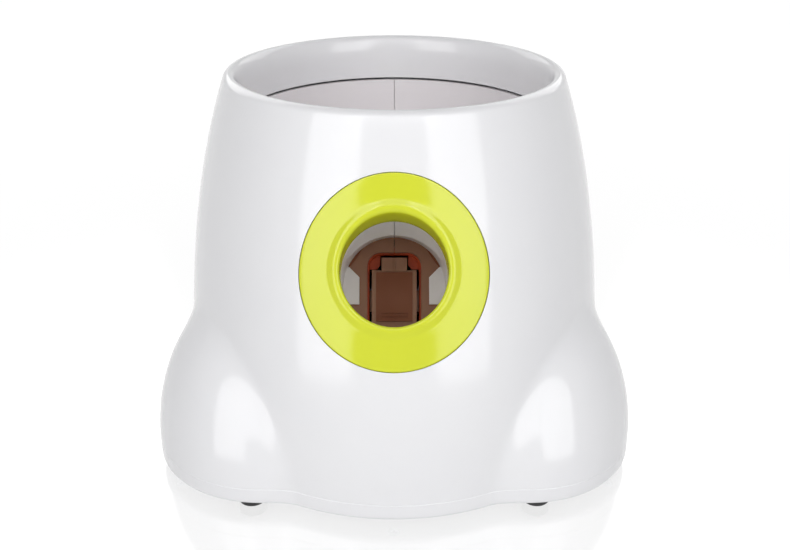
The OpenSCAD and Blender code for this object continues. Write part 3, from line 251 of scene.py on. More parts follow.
# ---------------------------------------------------------------- the casing's form
@dataclass(frozen=True)
class BodyForm:
    """The outer form that the shell, base, outlet ring and panel share, in millimetres."""

    body_h: float = 230.0
    body_r: float = 125.8
    flank: Flat = (126.8, 33.0)
    shoulder: Flat = (128.9, 138.6)
    rim_r: float = 97.2
    lip_t: float = 8.4
    seam_z: float = 16.7
    lobe_reach: float = 87.5
    lobe_r: float = 67.4
    lobe_h: float = 95.2
    lobe_blend: float = 9.0
    lobe_angles: tuple[float, ...] = (90.0, 210.0, 330.0)
    mouth_z: float = 153.4
    outlet_tilt: float = 30.5
    samples: int = 400
    table: tuple[np.ndarray, np.ndarray] = field(init=False)
    axis_y: float = field(init=False)

    def __post_init__(self) -> None:
        """Tabulates the flank curve and finds the middle of the part's box."""
        t = np.linspace(0, 1, self.samples)[:, None]
        ends = [np.array(p) for p in ((self.body_r, self.seam_z), self.flank, self.shoulder,
                                      (self.rim_r, self.body_h - self.lip_t / 2))]
        share = [(1 - t) ** 3, 3 * (1 - t) ** 2 * t, 3 * (1 - t) * t * t, t ** 3]
        curve = sum(s * p for s, p in zip(share, ends))
        object.__setattr__(self, "table", (curve[:, 1], curve[:, 0]))
        object.__setattr__(self, "axis_y", -(self.lobe_reach + self.lobe_r - curve[:, 0].max()) / 2)

    def round_r(self, z: float) -> float:
        """Gives the round body's radius at a height, carried on in a straight line past its ends."""
        zs, rs = self.table
        if z > zs[-1]:
            return float(rs[-1] + (z - zs[-1]) * (rs[-1] - rs[-4]) / (zs[-1] - zs[-4]))
        return float(np.interp(z, zs, rs))

    def height_at(self, r: float) -> float:
        """Gives the height at which the shoulder has a radius."""
        zs, rs = self.table
        top = int(rs.argmax())
        return float(np.interp(-r, -rs[top:], zs[top:]))

    def lean(self, z: float) -> float:
        """Gives how much a step square to the flank grows along a radius at a height."""
        return hypot(1, (self.round_r(z + 0.5) - self.round_r(z - 0.5)))

    def reach(self, azimuth: float, z: float) -> float:
        """Gives the casing's radius with the lobes blended in.

        Args:
            azimuth: the direction about the upright axis, in degrees from +X.
            z: the height.

        Returns:
            The distance from the axis to the outer surface.
        """
        body = self.round_r(z)
        rise = min(1.0, max(0.0, (z - self.seam_z) / self.lobe_h))
        lobe_now = self.lobe_r * sqrt(1 - rise * rise)
        out = body
        for angle in self.lobe_angles:
            turn = radians((azimuth - angle + 180) % 360 - 180)
            if abs(turn) > pi / 3:
                continue
            inside = lobe_now ** 2 - (self.lobe_reach * sin(turn)) ** 2
            lobe = self.lobe_reach * cos(turn) + sqrt(max(inside, 0.0))
            near = max(self.lobe_blend - abs(body - lobe), 0.0) / self.lobe_blend
            out = max(body, lobe) + near * near * self.lobe_blend / 4
        return out

    def lobe_surface(self, z: float) -> float:
        """Gives how far a lobe's middle line stands out at a height."""
        return self.lobe_reach + self.lobe_r * sqrt(1 - ((z - self.seam_z) / self.lobe_h) ** 2)

    def in_barrel(self, x: float, depth: float, up: float) -> Point:
        """Gives a point of the barrel's own frame.

        Args:
            x: the distance across.
            depth: the distance inwards from the mouth along the barrel.
            up: the distance above the barrel's axis.

        Returns:
            The point about the launcher's upright axis.
        """
        tilt = radians(self.outlet_tilt)
        return (x, -self.round_r(self.mouth_z) + depth * cos(tilt) + up * sin(tilt),
                self.mouth_z - depth * sin(tilt) + up * cos(tilt))

    def front_depth(self, x: float, up: float, proud: float) -> float:
        """Gives the depth at which a line along the barrel meets the body's front.

        Args:
            x: the line's distance across.
            up: the line's distance above the barrel's axis.
            proud: how far the surface stands out of the body's own.

        Returns:
            The depth from the mouth.
        """
        low, high = -45.0, 45.0
        for _ in range(40):
            mid = (low + high) / 2
            _, y, z = self.in_barrel(x, mid, up)
            outside = hypot(x, y) > self.round_r(z) + proud * self.lean(z)
            low, high = (mid, high) if outside else (low, mid)
        return low

    def back_y(self, x: float, z: float, proud: float) -> float:
        """Gives the y of the body's back at a place seen from behind, stood out by proud."""
        return sqrt((self.round_r(z) + proud * self.lean(z)) ** 2 - x * x)


FORM = BodyForm()


# ---------------------------------------------------------------- finishes
class Surface(Enum):
    """How a piece's surface was made."""

    POLISHED_MOULD = "moulded in a polished tool"
    FINE_MOULD = "moulded in a finely blasted tool"
    RUBBER_MOULD = "moulded rubber"
    TURNED = "turned or drawn metal"
    PLATED = "plated or stamped metal"
    LAMINATE = "solder mask over laminate"
    CLEAR = "clear moulding"


@dataclass(frozen=True)
class Finish:
    """A real material with the colour and the surface that its making gives it."""

    name: str
    slot: str
    colour: str
    shade: str
    surface: Surface
    roughness: float
    ior: float = 1.5
    grain_mm: float = 0.5
    grain_depth_mm: float = 0.004
    drift_mm: float = 38.0
    edge_mm: float = 0.18
    clearness: float = 0.85
    track_mm: float = 2.4
    matter: float = 1.2
    glossier: float = 0.85

    def build(self) -> bpy.types.Material:
        """Makes the material's nodes.

        Returns:
            The new material.
        """
        material = bpy.data.materials.new(self.name)
        material.use_nodes = True
        tree = material.node_tree
        shader = tree.nodes["Principled BSDF"]
        shader.inputs["IOR"].default_value = self.ior
        shader.inputs["Metallic"].default_value = float(self.surface in (Surface.TURNED, Surface.PLATED))
        if self.surface is Surface.CLEAR:
            shader.inputs["Transmission Weight"].default_value = self.clearness
        where = add_node(tree, "TexCoord").outputs["Object"]
        if self.surface is Surface.TURNED:
            # tool marks run round the part, so the pattern is drawn out along two axes
            where = add_node(tree, "Mapping", {"Scale": (0.15, 1.0, 1.0)},
                             {"Vector": where}).outputs["Vector"]
        drift = add_node(tree, "TexNoise", {"Scale": 1000 / self.drift_mm, "Detail": 3.0},
                         {"Vector": where})
        tint = add_node(tree, "Mix", {"data_type": "RGBA", 6: linear(self.colour),
                                                7: linear(self.shade)},
                        {"Factor": self.mask(tree, where, drift.outputs["Fac"])})
        tree.links.new(tint.outputs[2], shader.inputs["Base Color"])
        worn = add_node(tree, "MapRange",
                        {"From Min": 0.3, "From Max": 0.7, "To Min": self.roughness * self.glossier,
                         "To Max": self.roughness * self.matter}, {"Value": drift.outputs["Fac"]})
        tree.links.new(worn.outputs["Result"], shader.inputs["Roughness"])
        grain = add_node(tree, "TexNoise", {"Scale": 1000 / self.grain_mm, "Detail": 2.0},
                         {"Vector": where})
        # no moulded or cut edge is razor sharp, so each one catches a thin line of light
        edge = add_node(tree, "Bevel", {"samples": 4, "Radius": self.edge_mm * MM})
        bump = add_node(tree, "Bump", {"Strength": 1.0, "Distance": self.grain_depth_mm * MM},
                        {"Height": grain.outputs["Fac"], "Normal": edge.outputs["Normal"]})
        tree.links.new(bump.outputs["Normal"], shader.inputs["Normal"])
        return material

    def mask(self, tree: Tree, where: Socket,
             drift: Socket) -> Socket:
        """Gives what mixes the colour with its shade: slow drift, or tracks on a board.

        Args:
            tree: the material's tree.
            where: the pattern's coordinates.
            drift: the slow noise.

        Returns:
            The socket that the mix follows.
        """
        if self.surface is not Surface.LAMINATE:
            return drift
        # copper tracks half a pattern width apart show through the solder mask
        tracks = add_node(tree, "TexBrick",
                          {"Scale": 1000 / self.track_mm, "Mortar Size": 0.02, "Color1": (0, 0, 0, 1),
                           "Color2": (0.2, 0.2, 0.2, 1), "Mortar": (1, 1, 1, 1)}, {"Vector": where})
        return tracks.outputs["Color"]


FINISHES = {
    f.slot: f for f in (
        # glossy white ABS: clean highlights with the faint flow of a large moulding
        Finish("gloss white ABS", "white_abs", "#F1F1F3", "#EDEDF0",
                Surface.POLISHED_MOULD, 0.13, 1.54, 5.0, 0.002),
        # lime ABS from the same polished tool
        Finish("gloss lime ABS", "lime_abs", "#D9E021", "#D3DB1C",
                Surface.POLISHED_MOULD, 0.14, 1.54, 5.0, 0.002),
        # uncoloured ABS: warm, and matter than the outside
        Finish("natural cream ABS", "cream_abs", "#F0ECEE", "#ECE8EA",
                Surface.FINE_MOULD, 0.36, 1.54, 0.8, 0.006),
        # waxy acetal with a soft shine; its brown is painted shade, a darkened copy of the cream plastic that
        # stands in for the shade at the back of the barrel
        Finish("acetal browned as painted shade", "brown_acetal", "#9C6D52", "#90634A",
                Surface.FINE_MOULD, 0.46, 1.48, 0.7, 0.006),
        # natural acetal for the gears: milky and slick
        Finish("natural acetal", "gear_acetal", "#E9E5DA", "#E0DBCE",
                Surface.POLISHED_MOULD, 0.28, 1.48, 1.5, 0.004),
        # grey ABS with a blasted tool's even grain
        Finish("grey ABS", "cover_abs", "#5B5D62", "#52545A", Surface.FINE_MOULD, 0.45, 1.54, 0.5, 0.010),
        # black PBT of sockets and small housings
        Finish("black PBT", "black_plastic", "#18181A", "#202023", Surface.FINE_MOULD, 0.38, 1.55, 0.6, 0.006),
        # black natural rubber: dull, with a bloom in the recesses
        Finish("black rubber", "black_rubber", "#161617", "#232324",
                Surface.RUBBER_MOULD, 0.62, 1.52, 0.9, 0.020),
        # brown rubber of the striking pad; the same brown also paints the shade of the crescents at the
        # barrel's end
        Finish("brown rubber", "brown_rubber", "#864927", "#7A4022",
                Surface.RUBBER_MOULD, 0.62, 1.52, 0.9, 0.015),
        # orange elastomer of the bumper
        Finish("orange elastomer", "orange_rubber", "#CC4A0C", "#BC4008",
                Surface.RUBBER_MOULD, 0.5, 1.5, 0.9, 0.012),
        # zinc plated steel: pale blue-grey with a slight spangle
        Finish("zinc plated steel", "zinc_steel", "#B9BCC2", "#A9ADB5",
                Surface.PLATED, 0.32, 1.5, 1.2, 0.004, 6.0),
        # ground and drawn steel
        Finish("ground steel", "bright_steel", "#C9CACD", "#BBBCC0", Surface.TURNED, 0.2, 1.5, 0.3, 0.003, 8.0),
        # sintered bronze: dull gold with open pores
        Finish("sintered bronze", "bronze", "#A97E44", "#94703E", Surface.PLATED, 0.42, 1.5, 0.4, 0.010, 4.0),
        # cut brass
        Finish("cut brass", "brass", "#CDAA5A", "#BF9A4B", Surface.TURNED, 0.24, 1.5, 0.3, 0.003, 5.0),
        # fibreglass laminate under green solder mask
        Finish("green solder mask", "green_laminate", "#1B5E34", "#2E7A47",
                Surface.LAMINATE, 0.3, 1.55, 1.2, 0.010),
        # clear acrylic with a green tint
        Finish("tinted acrylic", "clear_lens", "#BFF0C8", "#B2E8BD", Surface.CLEAR, 0.08, 1.49, 2.0, 0.001),
        # the sleeve round a cell
        Finish("cell sleeve", "cell_jacket", "#C08A2E", "#3A3A3C", Surface.PLATED, 0.35, 1.5, 3.0, 0.004, 60.0),
    )
}


class Paint:
    """Gives out the materials and dresses pieces with them."""

    def __init__(self) -> None:
        """Builds every finish once."""
        self.materials = {slot: finish.build() for slot, finish in FINISHES.items()}

    def coat(self, obj: Piece, slot: str) -> None:
        """Gives a piece one finish all over."""
        obj.data.materials.clear()
        obj.data.materials.append(self.materials[slot])

    def finish_piece(self, obj: Piece, slot: str, body: str, *nodes: str) -> Piece:
        """Coats a new piece, lets it ride and hides the CAD nodes that it stands for.

        Args:
            obj: the piece.
            slot: the material slot.
            body: the body that it rides on.
            nodes: the CAD nodes that it replaces.

        Returns:
            The piece.
        """
        self.coat(obj, slot)
        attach(obj, body)
        if nodes:
            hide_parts(*nodes)
        LOG.info("made %s, %d faces, on %s", obj.name, len(obj.data.polygons), body)
        return obj

    def dress_nodes(self) -> None:
        """Gives every CAD node the finish of its slot in the record."""
        for part in frame["record"]["subparts"]:
            node = frame["nodes"][part["node"]]
            for holder in node.material_slots:
                holder.material = self.materials[part["material_slot"]]
            LOG.info("dressed %s in %s", part["node"], part["material_slot"])


# ---------------------------------------------------------------- casing
@dataclass
class Casing:
    """The white shell, the base tray and the rubber feet."""

    wall: float = 2.6
    skirt_wall: float = 2.3
    hopper_r: float = 89.4
    skirt_z: float = 201.6
    root_z: float = 220.2
    columns: int = 360
    row_step: float = 2.2
    seam_hair: float = 0.05
    roll_r: float = 4.6
    roll_drop: float = 1.5
    bell_l: float = 13.0
    skirt_reach: float = 0.05
    seam_edge: float = 0.2
    base_z: float = 6.0
    base_round: float = 3.6
    floor_t: float = 3.4
    foot_r: float = 8.0
    foot_reach: float = 127.0
    foot_spread: float = 20.0
    ring_hole_r: float = 48.7
    ring_drop: float = 2.0
    panel_half: float = 29.0
    panel_hole_r: float = 13.3
    panel_z: float = 158.0
    socket_z: float = 46.0
    socket_hole_r: float = 6.5
    socket_face_r: float = 8.3
    socket_sink: float = 0.3
    socket_pad: float = 5.0
    pad_r: float = 10.3
    box_half: Flat = (53.5, 40.2)
    box_wall: float = 2.0
    deck_z: float = 38.0
    door_lap: float = 2.9
    door_t: float = 2.2
    door_end: float = 68.4
    screw_head_r: float = 3.3
    screw_sink: float = 2.2
    post_r: float = 4.5
    pilot_r: float = 1.5
    boss_h: float = 16.0
    boss_sides: int = 32
    lug_r: float = 4.0
    lug_hole: float = 9.0
    lug_reach: float = 99.8
    lug_angles: tuple[float, ...] = (45.0, 135.0, 225.0, 315.0)
    lug_z: float = 192.0
    lobe_screw_in: float = 6.0
    body_screw_in: float = 6.3
    door_screw_x: float = 61.5
    mount_x: float = 29.0
    mount_ys: Flat = (-62.0, 54.0)
    holder_x: float = 38.0
    holder_ys: Flat = (88.0, 97.6)
    board_half: float = 38.1
    board_ys: Flat = (91.9, 93.7)
    board_zs: Flat = (16.0, 56.0)
    tongue: tuple[float, float, float] = (2.8, 4.4, 3.0)
    slot_pitch: float = 5.5
    foot_round: float = 1.6
    foot_dish: float = 0.7
    peg_r: float = 2.5
    peg_h: float = 3.0
    speaker_y: float = 112.0
    speaker_r: float = 18.1

    def band(self, z: float, inset: float) -> Loop:
        """Gives the casing's outline at a height, moved inwards."""
        out = []
        for k in range(self.columns):
            azimuth = 360 * k / self.columns
            r = FORM.reach(azimuth, z) - inset * FORM.lean(z)
            out.append((*polar(r, radians(azimuth)), z))
        return out

    def hoop(self, r: float, z: float) -> Loop:
        """Gives a level circle about the upright axis."""
        return [(*polar(r, a), z) for a in turns(self.columns)]

    def shell(self) -> Piece:
        """Builds the outer shell with its rolled rim, its skirt and its openings.

        Returns:
            The shell.
        """
        lip = self.roll_r
        lip_z = FORM.body_h - self.roll_drop - lip
        fall = atan(-(FORM.round_r(lip_z) - FORM.round_r(lip_z - 1)))
        tangent_z = lip_z + lip * sin(fall)
        lip_x = FORM.round_r(tangent_z) - lip * cos(fall)
        rows = int((tangent_z - FORM.seam_z) / self.row_step)
        low_z = FORM.seam_z + self.seam_edge
        heights = spread(low_z, tangent_z, rows)
        loops = [self.band(FORM.seam_z, self.seam_edge)] + [self.band(z, 0) for z in heights[:-1]]
        loops += [self.hoop(lip_x + lip * cos(a), lip_z + lip * sin(a)) for a in spread(fall, pi / 2, 7)]
        # inside, the rim falls into the bowl on a long easy curve, like a bell's mouth
        bell_z, inner = lip_z + lip - self.bell_l, lip_x - lip
        bell = spread(pi / 2, pi, 14)[1:]
        loops += [self.hoop(lip_x + lip * cos(a), bell_z + self.bell_l * sin(a)) for a in bell]
        low, skirt_out = self.skirt_z - self.skirt_reach, self.hopper_r + self.skirt_wall
        drop = zip(spread(inner, self.hopper_r, 6)[1:], spread(bell_z, low + self.seam_hair, 6)[1:])
        loops += [self.hoop(r, z) for r, z in [
            *drop, (self.hopper_r + self.seam_hair, low), (skirt_out, low), (skirt_out, self.root_z)]]
        loops += [self.band(z, self.wall) for z in reversed(heights) if z < self.root_z]
        loops.append(self.band(FORM.seam_z, self.wall))
        shell = loft("shell_wall", loops, ring=True)
        seat = FORM.lobe_surface(self.socket_z) - self.socket_sink
        along_y = lambda a, b, h: (a, h, self.socket_z + b)
        bore = [(self.socket_hole_r, seat - 9), (self.socket_hole_r, seat), (self.socket_face_r, seat),
                (self.socket_face_r, seat + 6)]
        tilt_rod = lambda a, b, h: FORM.in_barrel(a, h, b - self.ring_drop)
        carve(shell, joined("tool", [
            lathe("tool", [(self.ring_hole_r, 30), (self.ring_hole_r, -30)], tilt_rod, 180),
            self.stadium_tool(), lathe("tool", bore, along_y)]))
        back = seat - self.socket_pad
        pad = [(self.socket_hole_r, back), (self.pad_r, back), (self.pad_r, seat - 0.4),
               (self.socket_hole_r, seat - 0.4), (self.socket_hole_r, back)]
        low, high = FORM.seam_z + 0.02, FORM.seam_z + self.boss_h
        parts = [shell, lathe("pad", pad, along_y)]
        parts += [self.socket(x, y, low, low, high - 2, [high] * self.boss_sides, self.post_r)
                  for x, y in self.screw_places()]
        parts += [self.lug(x, y) for x, y in self.lug_places()]
        return smooth(joined("shell_smooth", parts))

    def socket(self, x: float, y: float, z0: float, mouth: float, end: float, top: Sequence[float],
               radius: float) -> Piece:
        """Builds a screw boss with a blind hole from below.

        Args:
            x: the boss's place across.
            y: the boss's place along.
            z0: the height of its lower end.
            mouth: the height at which the hole starts.
            end: the height at which the hole ends.
            top: the height of the upper end at each point round it.
            radius: the boss's radius.

        Returns:
            The boss.
        """
        level = lambda r, zs: [(x + r * cos(a), y + r * sin(a), z) for a, z in zip(turns(self.boss_sides), zs)]
        flat = lambda r, z: level(r, [z] * self.boss_sides)
        hole = [flat(self.pilot_r, end), flat(self.pilot_r, mouth)]
        return loft("boss", [*hole, flat(radius, z0), level(radius, top)])

    def lug_places(self) -> list[Flat]:
        """Gives the middle of each boss that the hopper bowl is screwed to."""
        return [polar(self.lug_reach, radians(a)) for a in self.lug_angles]

    def lug(self, x: float, y: float) -> Piece:
        """Builds a boss under the shoulder, whose top ends inside the shoulder's wall."""
        reach = [hypot(x + self.lug_r * cos(a), y + self.lug_r * sin(a)) for a in turns(self.boss_sides)]
        top = [min(FORM.height_at(r + 1.4), self.root_z + 1.6) for r in reach]
        return self.socket(x, y, self.lug_z, self.lug_z, self.lug_z + self.lug_hole, top, self.lug_r)

    def stadium_tool(self) -> Piece:
        """Makes the tool that opens the shell for the control panel."""
        outline = stadium(self.panel_half, self.panel_hole_r, 96)
        return loft("tool", [[(x, y, self.panel_z + z) for x, z in outline] for y in (100.0, 130.0)])

    def foot_places(self) -> list[Flat]:
        """Gives the middle of each foot."""
        angles = [radians(a + s * self.foot_spread) for a in FORM.lobe_angles for s in (-1, 1)]
        return [polar(self.foot_reach, a) for a in angles]

    def screw_places(self) -> list[Flat]:
        """Gives the middle of each screw that holds the shell to the base."""
        lobe = FORM.lobe_surface(FORM.seam_z + self.boss_h) - self.lobe_screw_in
        body = FORM.body_r - self.body_screw_in
        return [polar(r, radians(a + more)) for r, more in ((lobe, 0), (body, 60)) for a in FORM.lobe_angles]

    def base(self) -> Piece:
        """Builds the base tray with its battery box, its door recess, posts and holes.

        Returns:
            The base tray.
        """
        z0, z1, top = self.base_z, self.base_z + self.floor_t, FORM.seam_z
        outer, inner, rise = self.tongue
        section = [(z0 + self.base_round * (1 - cos(a)), self.base_round * (1 - sin(a)))
                   for a in spread(0, pi / 2, 6)]
        section += [(top - self.seam_edge, 0), (top, self.seam_edge), (top, outer), (top + rise, outer),
                    (top + rise, inner), (z1, inner)]
        base = loft("base_smooth", [self.band_low(z, inset) for z, inset in section])
        (bx, by), w = self.box_half, self.box_wall
        mounts = [(s * self.mount_x, y) for s in (-1, 1) for y in self.mount_ys]
        screws = self.screw_places()
        posts = [block((-bx - w, -by - w, z1 - 1), (bx + w, by + w, self.deck_z)),
                 post(self.door_screw_x, 0, z1 - 1, z1 + 7, 4.0),
                 post(0, self.speaker_y, z1 - 1, z1 + 4, self.speaker_r + 1.4, 72)]
        posts += [post(x, y, z1 - 1, top, self.post_r) for x, y in screws]
        posts += [post(x, y, z1 - 1, self.deck_z, self.post_r) for x, y in mounts]
        near, far = self.holder_ys
        posts += [block((x - 4, near, z1 - 1), (x + 4, far, z1 + 29)) for x in (-self.holder_x, self.holder_x)]
        carve(base, joined("tool", posts), "UNION")
        lap = self.door_lap
        cuts = [block((-bx, -by, z0 - 1), (bx, by, self.deck_z - 2.4)),
                post(self.door_screw_x, 0, z0 - 1, z1 + 6, self.pilot_r, 24)]
        for i in range(-2, 3):
            half, y = 6 + 3 * (2 - abs(i)), self.speaker_y + self.slot_pitch * i
            cuts.append(block((-half, y - 1, z0 - 1), (half, y + 1, z1 + 1)))
        cuts += [post(x, y, z0 - 1, z0 + self.screw_sink, self.screw_head_r) for x, y in screws]
        cuts += [post(x, y, z0 - 1, z1 + 2, self.peg_r) for x, y in self.foot_places()]
        cuts += [post(x, y, top, top + 6, self.post_r + 0.3) for x, y in screws]
        carve(base, joined("tool", cuts))
        pilots = [block((-bx - lap, -by - lap, z0 - 1), (self.door_end, by + lap, z0 + self.door_t)),
                  post(0, self.speaker_y, z1, z1 + 6, self.speaker_r, 72),
                  block(*zip((-self.board_half, self.board_half), self.board_ys, self.board_zs))]
        pilots += [post(x, y, z0 - 1, top + 1, self.pilot_r, 24) for x, y in screws]
        pilots += [post(x, y, self.deck_z - 14, self.deck_z + 1, self.pilot_r, 24) for x, y in mounts]
        carve(base, joined("tool", pilots))
        return smooth(base)

    def band_low(self, z: float, inset: float) -> Loop:
        """Gives the base's upright outline, which follows the seam at every height."""
        return [(x - inset * x / hypot(x, y), y - inset * y / hypot(x, y), z)
                for x, y, _ in self.band(FORM.seam_z, 0)]

    def feet(self) -> Piece:
        """Builds the rubber feet, each with a rounded edge and a hollow underneath."""
        r, h, e, dish = self.foot_r, self.base_z, self.foot_round, self.foot_dish
        round_edge = [(r - e + e * sin(a), e - e * cos(a)) for a in spread(0, pi / 2, 6)]
        profile = [(0.01, dish), (r * 0.45, dish), (r * 0.55, 0.0), *round_edge, (r, h), (self.peg_r, h),
                   (self.peg_r, h + self.peg_h), (0.01, h + self.peg_h)]
        parts = [lathe("foot", profile, lambda a, b, z, x=x, y=y: (x + a, y + b, z), 48)
                 for x, y in self.foot_places()]
        return smooth(joined("feet_round", parts), 40)

    def make(self, paint: Paint) -> None:
        """Makes the casing's pieces."""
        paint.finish_piece(self.shell(), "white_abs", "casing", "outer_shell")
        paint.finish_piece(self.base(), "white_abs", "casing", "base_tray")
        paint.finish_piece(self.feet(), "black_rubber", "casing", "rubber_feet")


def stadium(half: float, r: float, steps: int) -> list[Flat]:
    """Gives a round-ended outline from half its straight length, its end radius and its number of points."""
    right = [(half + r * cos(a), r * sin(a)) for a in spread(-pi / 2, pi / 2, steps // 2 - 1)]
    return right + [(-x, -z) for x, z in right]


# ---------------------------------------------------------------- outlet
@dataclass
class Outlet:
    """The lime ring with its rounded lip and its tube."""

    ring_r: float = 48.4
    flange_r: float = 51.6
    ring_drop: float = 2.0
    drop_span: Flat = (34.0, 45.0)
    front_inset: float = 2.75
    back_inset: float = 4.75
    mouth_r: float = 27.5
    tube_r: float = 29.5
    tube_l: float = 25.5
    lead_l: float = 6.0
    steps: int = 180
    section: tuple[Flat, ...] = (
        (48.4, -0.5), (48.32, -0.2), (48.1, -0.03), (47.7, 0.0), (45.0, 0.0), (41.0, 0.0), (37.5, 0.0),
        (35.2, 0.0), (34.3, 0.04), (33.6, 0.16), (32.9, 0.38), (32.2, 0.66), (31.5, 0.92), (30.8, 1.12),
        (30.1, 1.2), (29.4, 1.12), (28.8, 0.86), (28.2, 0.44), (27.8, -0.1), (27.58, -0.75), (27.5, -1.5))

    def follow(self, r: float, proud: float) -> Loop:
        """Gives a loop that follows the body's surface: wide ones lie lower than the barrel's axis.

        Args:
            r: the loop's radius.
            proud: how far it stands out of the body's surface.

        Returns:
            The loop's points.
        """
        near, far = self.drop_span
        drop = self.ring_drop * min(max((r - near) / (far - near), 0.0), 1.0)
        out = []
        for a in turns(self.steps):
            x, up = polar(r, a)
            out.append(FORM.in_barrel(x, FORM.front_depth(x, up - drop, proud), up - drop))
        return out

    def flat(self, r: float, depth: float) -> Loop:
        """Gives a loop of one radius square to the barrel."""
        return [FORM.in_barrel(r * cos(a), depth, r * sin(a)) for a in turns(self.steps)]

    def make(self, paint: Paint) -> None:
        """Makes the ring."""
        loops = [self.follow(self.flange_r, -self.back_inset), self.follow(self.flange_r, -self.front_inset),
                 self.follow(self.ring_r, -self.front_inset)]
        loops += [self.follow(r, proud) for r, proud in self.section]
        start, end = loops[-1], self.flat(self.mouth_r, self.tube_l - self.lead_l)
        for share in (0.25, 0.5, 0.75, 1):
            loops.append([tuple(Vector(p).lerp(Vector(q), share)) for p, q in zip(start, end)])
        loops += [self.flat(self.tube_r - 0.4, self.tube_l), self.flat(self.tube_r, self.tube_l)]
        loops += [self.follow(r, -self.back_inset) for r in (self.tube_r, *self.drop_span)]
        ring = smooth(loft("ring_smooth", loops, ring=True), 40)
        paint.finish_piece(ring, "lime_abs", "casing", "outlet_ring")


# ---------------------------------------------------------------- control panel
class Button(Enum):
    """The buttons from left to right as seen from the front; a distance button has as many dots."""

    POWER = 0
    SHORT = 1
    MEDIUM = 2
    LONG = 3


@dataclass
class ControlPanel:
    """The lime bezel at the back with its buttons, their marks and the hole for the lens."""

    centre_z: float = 158.0
    half: float = 29.0
    end_r: float = 13.0
    proud: float = 0.8
    back_inset: float = 2.75
    lip_inset: float = 4.55
    lip_w: float = 2.5
    pitch: float = 18.0
    button_r: float = 6.0
    hole_r: float = 6.3
    lens_r: float = 1.4
    cap_proud: float = 1.6
    flange_w: float = 1.2
    flange_t: float = 1.2
    cap_round: float = 1.1
    stem_r: float = 2.0
    dot_r: float = 0.75
    dot_pitch: float = 2.3
    ring_mark_r: float = 2.1
    mark_wire: float = 0.28
    stem_y: float = 101.9
    boss_x: float = 38.4
    boss_y: float = 97.2

    def on_back(self, outline: Sequence[Flat], proud: float) -> Loop:
        """Lays an outline on the body's back, stood out by proud."""
        return [(x, FORM.back_y(x, self.centre_z + z, proud), self.centre_z + z) for x, z in outline]

    def bezel(self) -> Piece:
        """Builds the bezel: rounded edge, face, holes, retaining lip and two screw bosses."""
        rim = [(0.0, -self.back_inset), (0.0, 0.35), (0.1, 0.58), (0.3, 0.74), (0.6, self.proud)]
        face = [(d, self.proud) for d in (2.5, 5.0, 7.5, 10.0, 12.98)]
        outer = [(-self.lip_w, -self.lip_inset), (-self.lip_w, -self.back_inset)]
        back = [(12.98, -self.lip_inset), (6.0, -self.lip_inset), (0.0, -self.lip_inset)]
        loops = [self.on_back(stadium(self.half, self.end_r - d, 96), proud)
                 for d, proud in outer + rim + face + back]
        bezel = loft("bezel_smooth", loops, ring=True)
        for side in (-1, 1):
            inside = FORM.back_y(self.boss_x, self.centre_z, -self.lip_inset) + 1
            carve(bezel, self.rod(side * self.boss_x, 3.0, self.boss_y, inside), "UNION")
        for button in Button:
            carve(bezel, self.rod(self.across(button), self.hole_r, 100, 130))
        carve(bezel, self.rod(-self.pitch, self.lens_r, 100, 130))
        return smooth(bezel)

    def across(self, button: Button) -> float:
        """Gives a button's place across the panel."""
        return (button.value - 1.5) * self.pitch

    def rod(self, x: float, r: float, y0: float, y1: float) -> Piece:
        """Makes a round tool along the buttons' travel."""
        return lathe("tool", [(r, y0), (r, y1)], lambda a, b, h: (x + a, h, self.centre_z + b), 72)

    def cap(self, button: Button) -> Piece:
        """Builds a button: dished cap, rounded edge, retaining flange and stem."""
        x, r = self.across(button), self.button_r
        top = FORM.back_y(abs(x), self.centre_z, self.proud) + self.cap_proud
        far = abs(x) + r + self.flange_w
        seat = FORM.round_r(self.centre_z + r) - self.lip_inset
        flange = sqrt(seat ** 2 - far ** 2) - 0.3
        dish = [(r * 0.70 * f, top - 0.55 + 0.35 * f * f) for f in (0.02, 0.25, 0.5, 0.75, 1.0)]
        e, wide, under = self.cap_round, r + self.flange_w, flange - self.flange_t
        edge = [(r - e + e * sin(a), top - e + e * cos(a)) for a in spread(0, pi / 2, 7)]
        profile = [*dish, *edge, (r, flange), (wide, flange), (wide, under), (self.stem_r, under),
                   (self.stem_r, self.stem_y), (0.02, self.stem_y)]
        return smooth(lathe("cap", profile, lambda a, b, h: (x + a, h, self.centre_z + b), 72), 40)

    def marks(self, button: Button) -> Piece:
        """Builds the raised marks on a cap: one to three dots, or a broken ring with a bar."""
        x = self.across(button)
        top = FORM.back_y(abs(x), self.centre_z, self.proud) + self.cap_proud - 0.52
        if button is Button.POWER:
            r, y = self.ring_mark_r, top + 0.08
            ring = [(x + r * cos(radians(a)), y, self.centre_z + r * sin(radians(a)))
                    for a in spread(130, 410, 40)]
            bar = [(x, y, self.centre_z + h) for h in (0.5, 1.2, 1.9, 2.6)]
            wires = [tube("wire", path, self.mark_wire, 10) for path in (ring, bar)]
            return smooth(joined("power_mark", wires), 50)
        dots = []
        for i in range(button.value):
            at = x + (i - (button.value - 1) / 2) * self.dot_pitch
            dome = [(self.dot_r * cos(a), top - 0.1 + 0.45 * sin(a)) for a in spread(0, pi / 2, 6)]
            profile = [(0.02, top - 0.3), (self.dot_r, top - 0.3), *dome[:-1], (0.02, top + 0.35)]
            dots.append(lathe("dot", profile, lambda a, b, h, at=at: (at + a, h, self.centre_z + b), 28))
        return smooth(joined(f"{button.name.lower()}_mark", dots), 50)

    def make(self, paint: Paint) -> None:
        """Makes the panel's pieces."""
        paint.finish_piece(self.bezel(), "lime_abs", "casing", "panel_bezel")
        for button in Button:
            name = f"{button.name.lower()}_button"
            cap = self.cap(button)
            cap.name = f"{name}_cap"
            paint.finish_piece(cap, "white_abs", name, name)
            paint.finish_piece(self.marks(button), "lime_abs", name)


